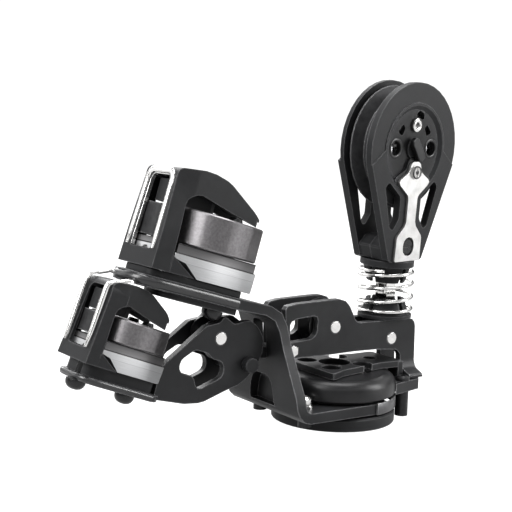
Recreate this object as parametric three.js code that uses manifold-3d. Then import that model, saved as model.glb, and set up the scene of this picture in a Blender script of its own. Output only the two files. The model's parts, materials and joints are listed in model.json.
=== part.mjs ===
// Swivelling mainsheet base for a dinghy: a deck-mounted swivel carries a bent arm with a medium cam
// cleat, a twin-plate channel with rope guide sheaves and a lower, smaller cam cleat, and a 60 mm
// ratchet block that stands on a coil spring. Millimetres, +Z up. The origin is the swivel axis at
// deck level, +X points along the channel towards the block, and the X-Z plane is the middle plane.
// "Near" is the -Y side and "far" the +Y side.
import * as THREE from "three";
import { mergeVertices } from "three/addons/utils/BufferGeometryUtils.js";
import Module from "manifold-3d";

const wasm = await Module();
wasm.setup();
const { degToRad, clamp, mapLinear } = THREE.MathUtils;

// ---------------------------------------------------------------- driving dimensions
// Swivel
const BASE_R = 30.4; // deck disc
const BASE_H = 6.0;
const HUB_R = 18.4; // fixed hub
const COVER_Z0 = 13.7; // underside of the cover disc
const COVER_Z1 = 23.8; // its top
const CENTRE_BORE_R = 7.0;
const SCREW_PCR = 13.6; // deck screws, pitch circle radius
const SCREW_HOLE_R = 2.7;
const SCREW_HEAD_HOLE_R = 5.0;

// Bent arm; its platform is described in the upper cleat's frame
const ARM_T = 5.0; // plate thickness
const ARM_Z0 = 7.2; // underside of the flat
const ARM_Z1 = ARM_Z0 + ARM_T;
const ARM_HALF = 29.6; // half width of the flat
const PLATFORM_HALF = 15.0; // half width of the platform
const PLATFORM_END = -41.6; // x of its free end
const PLATFORM_TOP = -3.8;
const PLATFORM_BOTTOM = PLATFORM_TOP - ARM_T;

// Channel
const BRIDGE_T = 3.2; // bridge plate over the cover
const FLANGE_Z0 = 13.2; // bridge flange
const FLANGE_Z1 = 18.6;
const PLATE_IN = 5.8; // inner face of a side plate, from the middle plane
const PLATE_OUT = 9.2; // outer face
const BOLT_HOLE_R = 2.2;
const PIN_HOLE_R = 3.0;

// Bolt places, [x, y], one on each side of the middle plane
const ARM_BOLT = [-31.0, 18.4];
const FLANGE_BOLT = [30.2, 16.8];

// Cross pins and bolts, [x, z]
const GUIDE_PIN = [-7.6, 46.8];
const STAND_PIN = [28.4, 38.5];
const LOWER_GUIDE_PIN = [-72.9, 46.6];
const CROSS_BOLT = [-33.2, 37.4];
const ADJUSTER_BOLT = [-58.1, 33.5];

// Cleat frames: datum [x, z] and pitch in degrees. Posts and screws are [x, y] in the frame.
const UPPER_DATUM = [-78.0, 72.1];
const UPPER_PITCH = 15.8;
const UPPER_POST = [4, 8.2];
const UPPER_SCREW = [-31.3, 0];
const LOWER_DATUM = [-121.0, 35.6];
const LOWER_PITCH = 20.0;
const LOWER_POST = [4.6, 6.6];
const LOWER_SCREW = [-18.85, -4.4];

// Spring stand
const STAND_X = 30.8; // axis
const PIVOT_LOW = 60.5; // shackle pivot heights
const PIVOT_UP = 72.0;
const SPRING_R = 13.3; // coil radius, middle of the wire
const WIRE_R = 0.9;
const POST_BORE_R = 3.25;

// Block; heights are above its lower pivot
const BLOCK_TURN = 10.0; // degrees about Z
const BLOCK_ROLL = 3.5; // lean on its spring, degrees
const HUB_UP = 61.5; // sheave axis
const SHEAVE_R = 30.0;
const SHEAVE_W = 12.4;
const CHEEK_R = 32.4;
const CHEEK_OUT = 11.0; // outer face of a cheek, from the block's middle
const RECESS_R = 22.7; // recess round the hub, at its mouth
const STRAP_SCREW_Z = 50.4;
const CHEEK_SCREW_Z = 73.3;
const FOOT_BOLT_Z = 13.4;

const SIDES = [["near", -1], ["far", 1]];

// Rounded corners: degrees per facet, coarser below the small radius
const ARC_STEP = 30;
const SMALL_ARC_STEP = 52;
const SMALL_ARC_R = 2.6;
const MIN_POINT_GAP = 0.06;

// ---------------------------------------------------------------- solids and geometry
function solidOf(geometry) {
  const bare = (geometry.index ? geometry.toNonIndexed() : geometry).clone();
  bare.deleteAttribute("normal");
  bare.deleteAttribute("uv");
  const merged = mergeVertices(bare, 1e-4);
  return new wasm.Manifold(
    new wasm.Mesh({
      numProp: 3,
      vertProperties: new Float32Array(merged.attributes.position.array),
      triVerts: new Uint32Array(merged.index.array),
    }),
  );
}

function geometryOf(solid) {
  const { numProp, numVert, vertProperties, triVerts } = solid.getMesh();
  const positions = new Float32Array(numVert * 3);
  for (let i = 0; i < numVert; i++) {
    positions.set(vertProperties.subarray(i * numProp, i * numProp + 3), i * 3);
  }
  const geometry = new THREE.BufferGeometry();
  geometry.setAttribute("position", new THREE.BufferAttribute(positions, 3));
  geometry.setIndex(new THREE.BufferAttribute(new Uint32Array(triVerts), 1));
  geometry.computeVertexNormals();
  return geometry;
}

const join = (...solids) => solids.reduce((sum, solid) => sum.add(solid));
const cut = (body, ...tools) => tools.reduce((rest, tool) => rest.subtract(tool), body);
const moved = (solid, matrix) => solidOf(geometryOf(solid).applyMatrix4(matrix));
const shifted = (solid, x, y, z) => moved(solid, new THREE.Matrix4().makeTranslation(x, y, z));

// ---------------------------------------------------------------- outlines
// A closed outline from points [x, y] or [x, y, corner radius]
function roundedOutline(points) {
  const result = [];
  points.forEach(([x, y, radius], i) => {
    const corner = new THREE.Vector2(x, y);
    if (!radius) {
      result.push(corner);
      return;
    }
    const before = new THREE.Vector2(...points.at(i - 1)).sub(corner);
    const after = new THREE.Vector2(...points[(i + 1) % points.length]).sub(corner);
    const room = 0.49 * Math.min(before.length(), after.length());
    before.normalize();
    after.normalize();
    const halfAngle = Math.acos(clamp(before.dot(after), -1, 1)) / 2;
    const inset = Math.min(radius / Math.tan(halfAngle), room);
    const fitted = inset * Math.tan(halfAngle);
    const centre = before.clone().add(after).normalize();
    centre.multiplyScalar(fitted / Math.sin(halfAngle)).add(corner);
    const angleAt = (direction) => {
      const end = direction.clone().multiplyScalar(inset).add(corner).sub(centre);
      return Math.atan2(end.y, end.x);
    };
    const start = angleAt(before);
    let sweep = angleAt(after) - start;
    while (sweep > Math.PI) sweep -= 2 * Math.PI;
    while (sweep < -Math.PI) sweep += 2 * Math.PI;
    const step = degToRad(fitted < SMALL_ARC_R ? SMALL_ARC_STEP : ARC_STEP);
    const count = Math.max(1, Math.round(Math.abs(sweep) / step));
    for (let j = 0; j <= count; j++) {
      const angle = start + (sweep * j) / count;
      const x = centre.x + fitted * Math.cos(angle);
      const y = centre.y + fitted * Math.sin(angle);
      result.push(new THREE.Vector2(x, y));
    }
  });
  // drop points that fall on their neighbour
  return result.filter(
    (point, i) => point.distanceTo(result[(i + 1) % result.length]) > MIN_POINT_GAP,
  );
}

// Outlines completed by their mirror image in the first or the second coordinate
const flipped = (points, signX, signY) => points.map(([x, y, r]) => [signX * x, signY * y, r]);
const symmetricX = (half) => [...half, ...flipped(half, -1, 1).reverse()];
const symmetricY = (half) => [...half, ...flipped(half, 1, -1).reverse()];

// The place [x, y] and its mirror image, near side first
const pair = ([x, y]) => [[x, -y], [x, y]];

// A range of distances from the middle plane, as a range in y on the given side
const span = (side, inner, outer) => (side < 0 ? [-outer, -inner] : [inner, outer]);

// ---------------------------------------------------------------- primitives
function extruded(points, depth, bevel = 0) {
  return new THREE.ExtrudeGeometry(new THREE.Shape(roundedOutline(points)), {
    depth: depth - 2 * bevel,
    bevelEnabled: bevel > 0,
    bevelThickness: bevel,
    bevelSize: bevel,
    bevelOffset: -bevel,
    bevelSegments: 1,
  });
}

// Slabs are named after the plane of their outline
function slabXY(points, z0, z1, bevel = 0) {
  return solidOf(extruded(points, z1 - z0, bevel).translate(0, 0, z0 + bevel));
}

function slabXZ(points, y0, y1) {
  return solidOf(extruded(points, y1 - y0).rotateX(Math.PI / 2).translate(0, y1, 0));
}

function slabYZ(points, x0, x1) {
  const geometry = extruded(points, x1 - x0).rotateX(Math.PI / 2).rotateZ(Math.PI / 2);
  return solidOf(geometry.translate(x0, 0, 0));
}

// Rods are named after their axis; endRadius is the radius at the high end
function rodX(radius, x0, x1, segments, [y, z] = [0, 0], endRadius = radius) {
  const geometry = new THREE.CylinderGeometry(endRadius, radius, x1 - x0, segments);
  return solidOf(geometry.rotateZ(-Math.PI / 2).translate((x0 + x1) / 2, y, z));
}

function rodY(radius, y0, y1, segments, [x, z] = [0, 0], endRadius = radius) {
  const geometry = new THREE.CylinderGeometry(endRadius, radius, y1 - y0, segments);
  return solidOf(geometry.translate(x, (y0 + y1) / 2, z));
}

function rodZ(radius, z0, z1, segments, [x, y] = [0, 0], endRadius = radius) {
  const geometry = new THREE.CylinderGeometry(endRadius, radius, z1 - z0, segments);
  return solidOf(geometry.rotateX(Math.PI / 2).translate(x, y, (z0 + z1) / 2));
}

// The same upright rod at several places
const rodsZ = (radius, z0, z1, segments, places) =>
  places.map((place) => rodZ(radius, z0, z1, segments, place));

// Cutter for a hole across both side plates
const crossHole = (radius, segments, place) => rodY(radius, -20, 20, segments, place);

const latheGeometry = (profile, segments) =>
  new THREE.LatheGeometry(profile.map(([r, h]) => new THREE.Vector2(r, h)), segments);
const latheY = (profile, segments) => solidOf(latheGeometry(profile, segments));
const latheZ = (profile, segments) =>
  solidOf(latheGeometry(profile, segments).rotateX(Math.PI / 2));

function box(x0, x1, y0, y1, z0, z1) {
  const geometry = new THREE.BoxGeometry(x1 - x0, y1 - y0, z1 - z0);
  return solidOf(geometry.translate((x0 + x1) / 2, (y0 + y1) / 2, (z0 + z1) / 2));
}

// ---------------------------------------------------------------- materials
const material = (settings) => new THREE.MeshStandardMaterial(settings);
const blackPlastic = material({ color: 0x232426, roughness: 0.55, metalness: 0.0 });
const anodised = material({ color: 0x2b2c2e, roughness: 0.45, metalness: 0.6 });
const darkCam = material({ color: 0x4a484c, roughness: 0.35, metalness: 0.8 });
const silver = material({ color: 0xc4c6c8, roughness: 0.3, metalness: 1.0 });
const steel = material({ color: 0xd8d6d4, roughness: 0.15, metalness: 1.0 });
const delrin = material({ color: 0x111214, roughness: 0.6, metalness: 0.0 });

// ---------------------------------------------------------------- groups
function cleatGroup([x, z], pitch) {
  const group = new THREE.Group();
  group.position.set(x, 0, z);
  group.rotation.y = degToRad(pitch);
  group.updateMatrixWorld();
  return group;
}

function blockGroup() {
  const group = new THREE.Group();
  group.position.set(STAND_X, 0, PIVOT_UP);
  group.rotation.order = "ZXY";
  group.rotation.z = degToRad(BLOCK_TURN);
  group.rotation.x = degToRad(BLOCK_ROLL);
  return group;
}

const root = new THREE.Group();
const upper = cleatGroup(UPPER_DATUM, UPPER_PITCH);
const lower = cleatGroup(LOWER_DATUM, LOWER_PITCH);
const block = blockGroup();
root.add(upper, lower, block);

function add(name, solid, material, parent = root) {
  const mesh = new THREE.Mesh(geometryOf(solid), material);
  mesh.name = name;
  parent.add(mesh);
}

// A solid made in a cleat's frame, brought to world space
const toWorld = (solid, group) => moved(solid, group.matrixWorld);

// ---------------------------------------------------------------- swivel
const deckHoles = [45, 135, 225, 315].map((degrees) => {
  const angle = degToRad(degrees);
  return [SCREW_PCR * Math.cos(angle), SCREW_PCR * Math.sin(angle)];
});

// Deck disc with its hub in one moulding
function baseDisc() {
  const hubTop = COVER_Z0 - 0.03;
  const profile = [
    [0, 0], [BASE_R - 0.4, 0], [BASE_R, 0.5], [BASE_R, BASE_H - 0.8], [BASE_R - 0.8, BASE_H],
    [HUB_R, BASE_H], [HUB_R, hubTop], [0, hubTop],
  ];
  return cut(
    latheZ(profile, 42),
    rodZ(CENTRE_BORE_R, 2, 20, 16),
    ...rodsZ(SCREW_HOLE_R, -1, 20, 8, deckHoles),
  );
}

function coverDisc() {
  const profile = [
    [0, COVER_Z0], [BASE_R - 0.6, COVER_Z0], [BASE_R, COVER_Z0 + 0.6], [BASE_R, 19.2],
    [BASE_R - 1.2, 21.9], [BASE_R - 3.4, 23.4], [BASE_R - 6.0, COVER_Z1], [0, COVER_Z1],
  ];
  return cut(
    latheZ(profile, 42),
    rodZ(CENTRE_BORE_R, 0, 30, 16),
    ...rodsZ(SCREW_HOLE_R, 0, 30, 8, deckHoles),
    ...rodsZ(SCREW_HEAD_HOLE_R, COVER_Z1 - 3.4, 30, 12, deckHoles),
  );
}

// Countersunk screw with a cross slot
function deckScrew([x, y]) {
  const slotZ = COVER_Z1 - 2.0;
  return cut(
    join(
      rodZ(4.6, COVER_Z1 - 3.3, COVER_Z1 - 1.0, 12, [x, y]),
      rodZ(2.5, 0.3, COVER_Z1 - 3.2, 7, [x, y]),
    ),
    box(x - 3.2, x + 3.2, y - 0.6, y + 0.6, slotZ, COVER_Z1),
    box(x - 0.6, x + 0.6, y - 3.2, y + 3.2, slotZ, COVER_Z1),
  );
}

// Flanged low-friction bush that carries the arm, fixed on the hub
function swivelBush() {
  const bore = HUB_R + 0.25;
  const neck = HUB_R + 1.4;
  const rim = 27.0;
  const profile = [
    [bore, BASE_H + 0.05], [rim, BASE_H + 0.05], [rim, ARM_Z0 - 0.1], [neck, ARM_Z0 - 0.1],
    [neck, ARM_Z1 + 0.1], [rim, ARM_Z1 + 0.1], [rim, COVER_Z0 - 0.1], [bore, COVER_Z0 - 0.1],
    [bore, BASE_H + 0.05],
  ];
  return latheZ(profile, 28);
}

add("base_disc", baseDisc(), blackPlastic);
add("cover_disc", coverDisc(), blackPlastic);
deckHoles.forEach((place, i) => add("deck_screw_" + (i + 1), deckScrew(place), steel));
add("swivel_bush", swivelBush(), delrin);

// ---------------------------------------------------------------- upper arm
// Side profile of the bent plate, [x, z, corner radius]
function armProfile() {
  const cos = Math.cos(degToRad(UPPER_PITCH));
  const sin = Math.sin(degToRad(UPPER_PITCH));
  const fromPlatform = (x, z) => [
    UPPER_DATUM[0] + x * cos + z * sin,
    UPPER_DATUM[1] - x * sin + z * cos,
  ];
  const bendX = 13.5;
  return [
    [12, ARM_Z1], [-37.6, ARM_Z1, 2.6], [-39.9, 42, 60], [-41.6, 58.6, 15],
    [...fromPlatform(bendX, PLATFORM_TOP), 50],
    fromPlatform(PLATFORM_END, PLATFORM_TOP),
    fromPlatform(PLATFORM_END, PLATFORM_BOTTOM),
    [...fromPlatform(bendX, PLATFORM_BOTTOM), 30],
    [-46.2, 55.0, 10.5], [-44.9, 42, 60], [-42.7, ARM_Z0, 7.6], [12, ARM_Z0],
  ];
}

function upperArm() {
  // end view: wide at the flat, drawn in to the platform
  const endView = symmetricX([
    [ARM_HALF, 0], [ARM_HALF, 15.5, 20], [16.5, 45, 30],
    [PLATFORM_HALF, 56, 30], [PLATFORM_HALF, 110],
  ]);
  const platformPlan = symmetricY([[PLATFORM_END, -PLATFORM_HALF, 13], [0, -PLATFORM_HALF]]);
  const roundPlatform = cut(box(-60, -28, -40, 40, -30, 20), slabXY(platformPlan, -40, 30));
  const roundFlat = cut(box(0, 60, -60, 60, 0, 20), rodZ(BASE_R, -1, 21, 39));
  const runningBore = rodZ(HUB_R + 1.55, 0, 20, 31);
  const arch = symmetricX([[10, 12.3], [9.0, 20, 3], [6.5, 26.2, 4]]);
  const ropeWindow = symmetricX([[4.6, 34.0, 1], [4.6, 52.5, 3]]);
  const cleatHoles = rodsZ(BOLT_HOLE_R, -40, 10, 9, [...pair(UPPER_POST), UPPER_SCREW]);
  return cut(
    slabXZ(armProfile(), -ARM_HALF, ARM_HALF).intersect(slabYZ(endView, -200, 60)),
    toWorld(roundPlatform, upper),
    roundFlat,
    runningBore,
    slabYZ(arch, -60, -38.6),
    slabYZ(ropeWindow, -60, -35),
    ...rodsZ(BOLT_HOLE_R, 0, 20, 9, pair(ARM_BOLT)),
    ...cleatHoles.map((hole) => toWorld(hole, upper)),
  );
}

// Second, thinner plate bolted under the platform
function backingPlate() {
  const top = PLATFORM_BOTTOM - 0.02;
  return cut(
    slabXY(symmetricY([[-25, -12, 9], [15.5, -12, 3]]), top - 2.8, top),
    ...rodsZ(BOLT_HOLE_R, -40, 10, 8, pair(UPPER_POST)),
  );
}

add("upper_arm", upperArm(), anodised);
add("platform_backing_plate", backingPlate(), anodised, upper);

// ---------------------------------------------------------------- channel
// Plate over the cover, stepping down to a flange that bolts to the swivel
function bridgePlate() {
  const bottom = COVER_Z1 + 0.4;
  const top = bottom + BRIDGE_T;
  const plan = symmetricY([
    [-17.5, -22, 1.5], [-7.5, -17, 8], [20, -11.6, 12], [33.5, -12.2, 2],
  ]);
  const flangePlan = symmetricY([[20, -22.5], [41.8, -16.8, 1.5]]);
  return cut(
    join(
      slabXY(plan, bottom, top),
      box(31.0, 34.2, -12.2, 12.2, 13.4, top - 0.5),
      cut(slabXY(flangePlan, FLANGE_Z0, FLANGE_Z1), rodZ(BASE_R + 0.4, 0, 30, 39)),
    ),
    rodZ(8.0, 20, 30, 21),
    ...rodsZ(SCREW_HEAD_HOLE_R, 20, 30, 12, deckHoles),
    rodZ(3.4, 20, 30, 10, [22.5, 0]),
    ...rodsZ(BOLT_HOLE_R, 10, 22, 8, pair(FLANGE_BOLT)),
    box(30, 36, -4.5, 4.5, 18.7, 24.5),
  );
}

// Side plate outlines and their windows, [x, z, corner radius]
const channelOutline = [
  [-36.6, 33.8, 2], [-9.9, 33.6], [4.3, 33.9, 10], [18.3, 33.7, 10], [31.9, 32.5, 2.5],
  [34.6, 30.1, 1.5], [34.9, 18.8], [44.3, 18.8], [43.6, 47.9, 4.2], [5.6, 47.9, 4],
  [-1.2, 60.2, 11], [-10.2, 60.4, 60], [-33.0, 59.6, 30], [-37.6, 58.4, 1.5],
];
const channelWindow = [
  [-34.6, 41.2, 1.5], [-21.4, 42.2, 2.5], [-18.2, 45.0, 2.5], [-18.6, 47.5, 3],
  [-18.0, 53.4, 2.2], [-31.0, 52.4, 4], [-34.6, 51.0, 1.5],
];
const lowerOutline = [
  [-52.3, 33.0, 8], [-60.5, 24.8, 10], [-70.0, 22.2, 30], [-82.5, 18.0, 9], [-91.5, 18.6, 6],
  [-107.4, 22.4, 1], [-103.6, 36.2, 4], [-80.6, 52.9, 2], [-73.6, 53.9, 1.5],
  [-71.6, 56.2, 1], [-69.8, 55.8, 1], [-65.5, 52.4, 3], [-56.4, 54.6, 7], [-50.6, 47.5, 9],
  [-48.8, 41.0, 8],
];
const lowerWindow = [
  [-86.2, 42.6, 3.5], [-79.5, 40.4, 3], [-77.2, 37.6, 2.5], [-71.4, 35.8, 3.2],
  [-70.6, 29.2, 4], [-85.2, 23.8, 2.5], [-86.7, 30.6, 3], [-94.6, 33.2, 3.2],
  [-93.6, 38.6, 4],
];

function sidePlate(side, points, window) {
  const [y0, y1] = span(side, PLATE_IN, PLATE_OUT);
  return cut(slabXZ(points, y0, y1), slabXZ(window, y0 - 1, y1 + 1));
}

function channelPlate(side) {
  // outward foot on the bridge flange, [y, z, corner radius]
  const foot = [
    [5.8, 18.8], [16.6, 18.8, 0.5], [16.6, 20.6, 1], [11.2, 22.6, 3], [9.2, 27.5], [5.8, 27.5],
  ];
  const [boltX, boltY] = FLANGE_BOLT;
  return cut(
    join(
      sidePlate(side, channelOutline, channelWindow),
      slabYZ(flipped(foot, side, 1), 35.0, 43.6),
    ),
    crossHole(PIN_HOLE_R, 13, GUIDE_PIN),
    crossHole(PIN_HOLE_R, 13, STAND_PIN),
    crossHole(BOLT_HOLE_R, 8, CROSS_BOLT),
    rodZ(3.9, 18, 21.5, 10, [boltX, side * boltY]),
  );
}

// Two side plates and the lower cleat's platform in one bracket
function lowerArm() {
  const plan = symmetricY([[-21.4, -13.8, 9], [15.0, -14, 2.5], [19.4, -9.2, 1.5]]);
  const cleatHoles = rodsZ(2.0, -40, 10, 8, [...pair(LOWER_POST), LOWER_SCREW]);
  return cut(
    join(
      ...SIDES.map(([, side]) => sidePlate(side, lowerOutline, lowerWindow)),
      toWorld(slabXY(plan, -8.5, -5.7), lower),
    ),
    crossHole(PIN_HOLE_R, 13, LOWER_GUIDE_PIN),
    crossHole(BOLT_HOLE_R, 8, ADJUSTER_BOLT),
    ...cleatHoles.map((hole) => toWorld(hole, lower)),
  );
}

// Tongue through the arm's window: it joins the channel to the lower arm
function channelTongue() {
  const elevation = [
    [-66.5, 31.2, 1.5], [-53.0, 29.2, 2], [-49.5, 34.3], [-30.5, 34.3, 1.5],
    [-30.5, 39.6, 1.5], [-66.5, 39.6, 1.5],
  ];
  const plan = symmetricY([
    [-70, -5.7], [-50.4, -5.7], [-50.4, -4.3], [-36.2, -4.3], [-36.2, -5.7], [-28, -5.7],
  ]);
  return cut(
    slabXZ(elevation, -7, 7).intersect(slabXY(plan, 20, 50)),
    crossHole(BOLT_HOLE_R, 8, ADJUSTER_BOLT),
    crossHole(BOLT_HOLE_R, 8, CROSS_BOLT),
  );
}

// Bolt across the channel with a head at each end
function crossBolt(place, { shankEnd, headR, headEnd, headSegments }) {
  const headStart = PLATE_OUT + 0.1;
  const heads = SIDES.map(([, side]) =>
    rodY(headR, ...span(side, headStart, headEnd), headSegments, place));
  return join(rodY(2.1, -shankEnd, shankEnd, 8, place), ...heads);
}

const crossPin = (place) => rodY(2.95, -PLATE_OUT - 0.35, PLATE_OUT + 0.35, 13, place);

function guideSheave([x, z], rimR, grooveR, segments) {
  const bore = 3.05;
  const half = 5.3;
  const profile = [
    [bore, -half], [rimR, -half], [rimR, -half + 0.9], [grooveR + 0.6, -half * 0.28],
    [grooveR, 0], [grooveR + 0.6, half * 0.28], [rimR, half - 0.9], [rimR, half],
    [bore, half], [bore, -half],
  ];
  return shifted(latheY(profile, segments), x, 0, z);
}

// Bolt with a domed hex-socket head above a plate and a nut below it. headStart and headEnd are
// heights above the plate; nutBottom is an absolute height.
const armBoltSizes = {
  plateTop: ARM_Z1, plateBottom: ARM_Z0, nutBottom: 3.2, washerR: 3.9,
  headR: 3.2, headStart: 1.0, headEnd: 4.3, domeH: 1.0, domeR: 2.0,
};
const flangeBoltSizes = {
  plateTop: FLANGE_Z1, plateBottom: FLANGE_Z0, nutBottom: 1.0,
  headR: 3.6, headStart: 0.02, headEnd: 1.5, domeH: 0.9, domeR: 2.2,
};

function plateBolt(place, sizes) {
  const { plateTop, plateBottom, nutBottom, washerR, headR, domeH, domeR } = sizes;
  const headTop = plateTop + sizes.headEnd;
  const washer = washerR ? [rodZ(washerR, plateTop + 0.02, plateTop + 1.1, 12, place)] : [];
  return cut(
    join(
      rodZ(2.05, nutBottom + 0.2, plateTop + 0.2, 8, place),
      ...washer,
      rodZ(headR, plateTop + sizes.headStart, headTop, 12, place),
      rodZ(headR, headTop - 0.05, headTop + domeH, 12, place, domeR),
      rodZ(3.3, nutBottom, plateBottom - 0.02, 12, place),
    ),
    rodZ(1.3, headTop - 0.6, headTop + 3, 6, place),
  );
}

add("bridge_plate", bridgePlate(), anodised);
for (const [name, side] of SIDES) add("channel_plate_" + name, channelPlate(side), anodised);
add("lower_arm", lowerArm(), anodised);
add("channel_tongue", channelTongue(), anodised);
const crossBoltSizes = { shankEnd: 9.8, headR: 2.9, headEnd: 10.9, headSegments: 6 };
const adjusterSizes = { shankEnd: 10.4, headR: 3.6, headEnd: 13.4, headSegments: 12 };
add("channel_cross_bolt", crossBolt(CROSS_BOLT, crossBoltSizes), steel);
add("adjuster_bolt", crossBolt(ADJUSTER_BOLT, adjusterSizes), blackPlastic);
add("guide_sheave_pin", crossPin(GUIDE_PIN), steel);
add("stand_pin", crossPin(STAND_PIN), steel);
add("lower_guide_pin", crossPin(LOWER_GUIDE_PIN), steel);
add("guide_sheave", guideSheave(GUIDE_PIN, 12.4, 8.6, 22), delrin);
add("lower_guide_sheave", guideSheave(LOWER_GUIDE_PIN, 8.2, 5.6, 18), delrin);
[
  ...pair([ARM_BOLT[0], ARM_BOLT[1]]).map((place) => plateBolt(place, armBoltSizes)),
  ...pair(FLANGE_BOLT).map((place) => plateBolt(place, flangeBoltSizes)),
].forEach((bolt, i) => add("arm_bolt_" + (i + 1), bolt, steel));

// ---------------------------------------------------------------- cleats
// All lengths are in the cleat's own frame: x runs towards the block, z is normal to the base, and
// the origin is under the middle of the base. Cam points are [x, y, corner radius] for the far
// side; hood points are [x, z, corner radius].
const upperCleat = {
  group: upper,
  scale: 1, // of the base's end taper and the fairlead's gussets
  pad: { start: -35, end: 14.2, bottom: -3.75 },
  base: { start: -26.4, end: 17.2, half: 14.9, height: 8.5 },
  post: UPPER_POST, postR: 3.4,
  camZ: [13.0, 28.6],
  bolt: { radius: 2.05, nutR: 4.6, headR: 3.4, headH: 2.0, bottom: -11.65 },
  screw: { place: UPPER_SCREW, bottom: -8.85, nut: false },
  frame: {
    start: -36, end: -27, half: 14.9, taper: 1.6, shoulder: 6, sillH: 7.2, postH: 32,
    top: 43.8, openHalf: 9.2, roof: 3.2,
  },
  teeth: { start: -24, end: -5, count: 7, depth: 1.0 + 1.1 },
  cam: [
    [-26.0, 5, 1.5], [-24.6, 1.0, 1.4], [-5, 1.0, 2], [3, 4.5, 6], [14.8, 11.0, 3],
    [17.0, 13.6, 2.4], [9, 16.6, 8], [-4, 17.4, 18], [-17, 16.0, 12], [-26.0, 12.0, 3.4],
  ],
  hood: {
    under: [[-21.0, 35.4, 4], [-4.2, 32.4, 10]],
    tip: [[16.6, 28.95, 1.2], [18.0, 31.8, 3]],
    top: [[11.4, 35.8, 10], [-6.3, 44.6, 12], [-18, 46.4, 20]],
    inner: [[8, 32.6], [-6, 38.6], [-20, 41.0]],
    end: 18.2, tipHalf: 8.5, clearZ: 28.9,
  },
};
const lowerCleat = {
  group: lower,
  scale: 0.72,
  pad: { start: -19.6, end: 15.0, bottom: -5.65 },
  base: { start: -15.8, end: 15.8, half: 12.4, height: 7.2 },
  post: LOWER_POST, postR: 2.8,
  camZ: [11.2, 21.8],
  bolt: { radius: 1.8, nutR: 4.2, headR: 2.8, headH: 1.6, bottom: -8.55 },
  screw: { place: LOWER_SCREW, bottom: -8.55, nut: true },
  frame: {
    start: -22.2, end: -15.9, half: 13.3, taper: 0.5, shoulder: 5, sillH: 5.4, postH: 25,
    top: 35.2, openHalf: 7.8, roof: 2.6,
  },
  teeth: { start: -15.2, end: -2.6, count: 5, depth: 0.9 + 1.1 },
  cam: [
    [-15.6, 5, 1.6], [-14.8, 0.9, 1.2], [-2.4, 0.9, 1.5], [3, 3.4, 5], [12.8, 9.0, 2.5],
    [14.8, 11.4, 2], [8.3, 13.5, 7], [-2.5, 14.2, 14], [-11, 13.0, 9], [-15.6, 10.2, 2.6],
  ],
  hood: {
    under: [[-10.5, 27.4, 2.5], [-1, 25.2, 8]],
    tip: [[14.2, 22.2, 1.2], [15.6, 25.8, 2.4]],
    top: [[11.0, 29.8, 8], [-1.4, 36.0, 9], [-10.4, 36.6, 14]],
    inner: [[7, 26.4], [-3, 31.0], [-12, 32.8]],
    end: 15.8, tipHalf: 7.2, clearZ: 22.1,
  },
};

const boltHoleR = (bolt) => bolt.radius + 0.15;

function cleatPad({ pad, base, post, bolt, screw }) {
  const plan = symmetricY([[pad.start, -base.half + 2.2, 6], [pad.end, -base.half + 1.0, 3]]);
  return cut(
    slabXY(plan, pad.bottom, -0.65),
    ...rodsZ(boltHoleR(bolt), -30, 10, 8, [screw.place, ...pair(post)]),
  );
}

// Machined base with two posts
function cleatBase({ scale, base, post, postR, camZ, bolt }) {
  const { start, end, half, height } = base;
  const elevation = [
    [start, height], [start, height * 0.72], [start + 6.5 * scale, height * 0.58, 1],
    [start + 14 * scale, -0.62], [end - 0.3, -0.62, 0.6], [end, height, 0.4],
  ];
  return cut(
    join(
      slabXZ(elevation, -half, half),
      box(start + 1, end - 0.6, -half + 0.8, half - 0.8, height - 0.1, camZ[0] - 0.25),
      ...rodsZ(postR, 1, camZ[1] + 0.12, 13, pair(post)),
    ),
    ...rodsZ(boltHoleR(bolt), -5, 60, 8, pair(post)),
  );
}

// Nut below the height top, with a dome that narrows downwards
function domedNut(place, top, radius, { tipRatio, height, segments }) {
  return [
    rodZ(radius, top - 1.4, top - 0.04, segments, place),
    rodZ(radius * tipRatio, top - height, top - 1.35, segments, place, radius * 0.98),
  ];
}

// Screw that holds the fairlead's foot down on the platform
function fairleadScrew({ bolt, screw, frame }) {
  const { place, bottom } = screw;
  const { radius } = bolt;
  const { sillH } = frame;
  const dome = { tipRatio: 0.55, height: 4.0, segments: 10 };
  return join(
    rodZ(radius, screw.nut ? bottom - 1 : bottom + 0.4, sillH + 0.5, 8, place),
    rodZ(radius * 1.45, sillH + 0.03, sillH + 1.4, 10, place, radius * 1.1),
    ...(screw.nut ? domedNut(place, bottom, bolt.nutR, dome) : []),
  );
}

// Cam with tooth gullets along its rope face
function cleatCam(side, { cam, camZ, teeth, post, postR }) {
  const [z0, z1] = camZ;
  const onSide = (points) => (side > 0 ? points : flipped(points, 1, -1).reverse());
  const pitch = (teeth.end - teeth.start) / teeth.count;
  const half = pitch * 0.36;
  const gullets = Array.from({ length: teeth.count }, (_, i) => {
    const x = teeth.start + pitch * (i + 0.5);
    const gullet = [
      [x - half, 0], [x + half, 0], [x + half * 0.2, teeth.depth], [x - half * 0.5, teeth.depth],
    ];
    return slabXY(onSide(gullet), z0 - 1, z1 + 1);
  });
  return cut(
    slabXY(onSide(cam), z0, z1, 0.6),
    ...gullets,
    rodZ(postR + 0.12, 0, 60, 16, [post[0], side * post[1]]),
  );
}

// The near bolt carries a domed nut; the far one ends flush in the threaded plate
function cleatBolt(side, { post, camZ, bolt }) {
  const { radius, nutR, headR, headH, bottom } = bolt;
  const place = [post[0], side * post[1]];
  const top = camZ[1];
  const dome = { tipRatio: 0.5, height: 4.2, segments: 12 };
  return join(
    rodZ(radius, side < 0 ? bottom - 1 : bottom + 0.2, top + 0.5, 8, place),
    rodZ(headR, top + 0.16, top + headH, 10, place, headR * 0.8),
    ...(side < 0 ? domedNut(place, bottom, nutR, dome) : []),
  );
}

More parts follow.
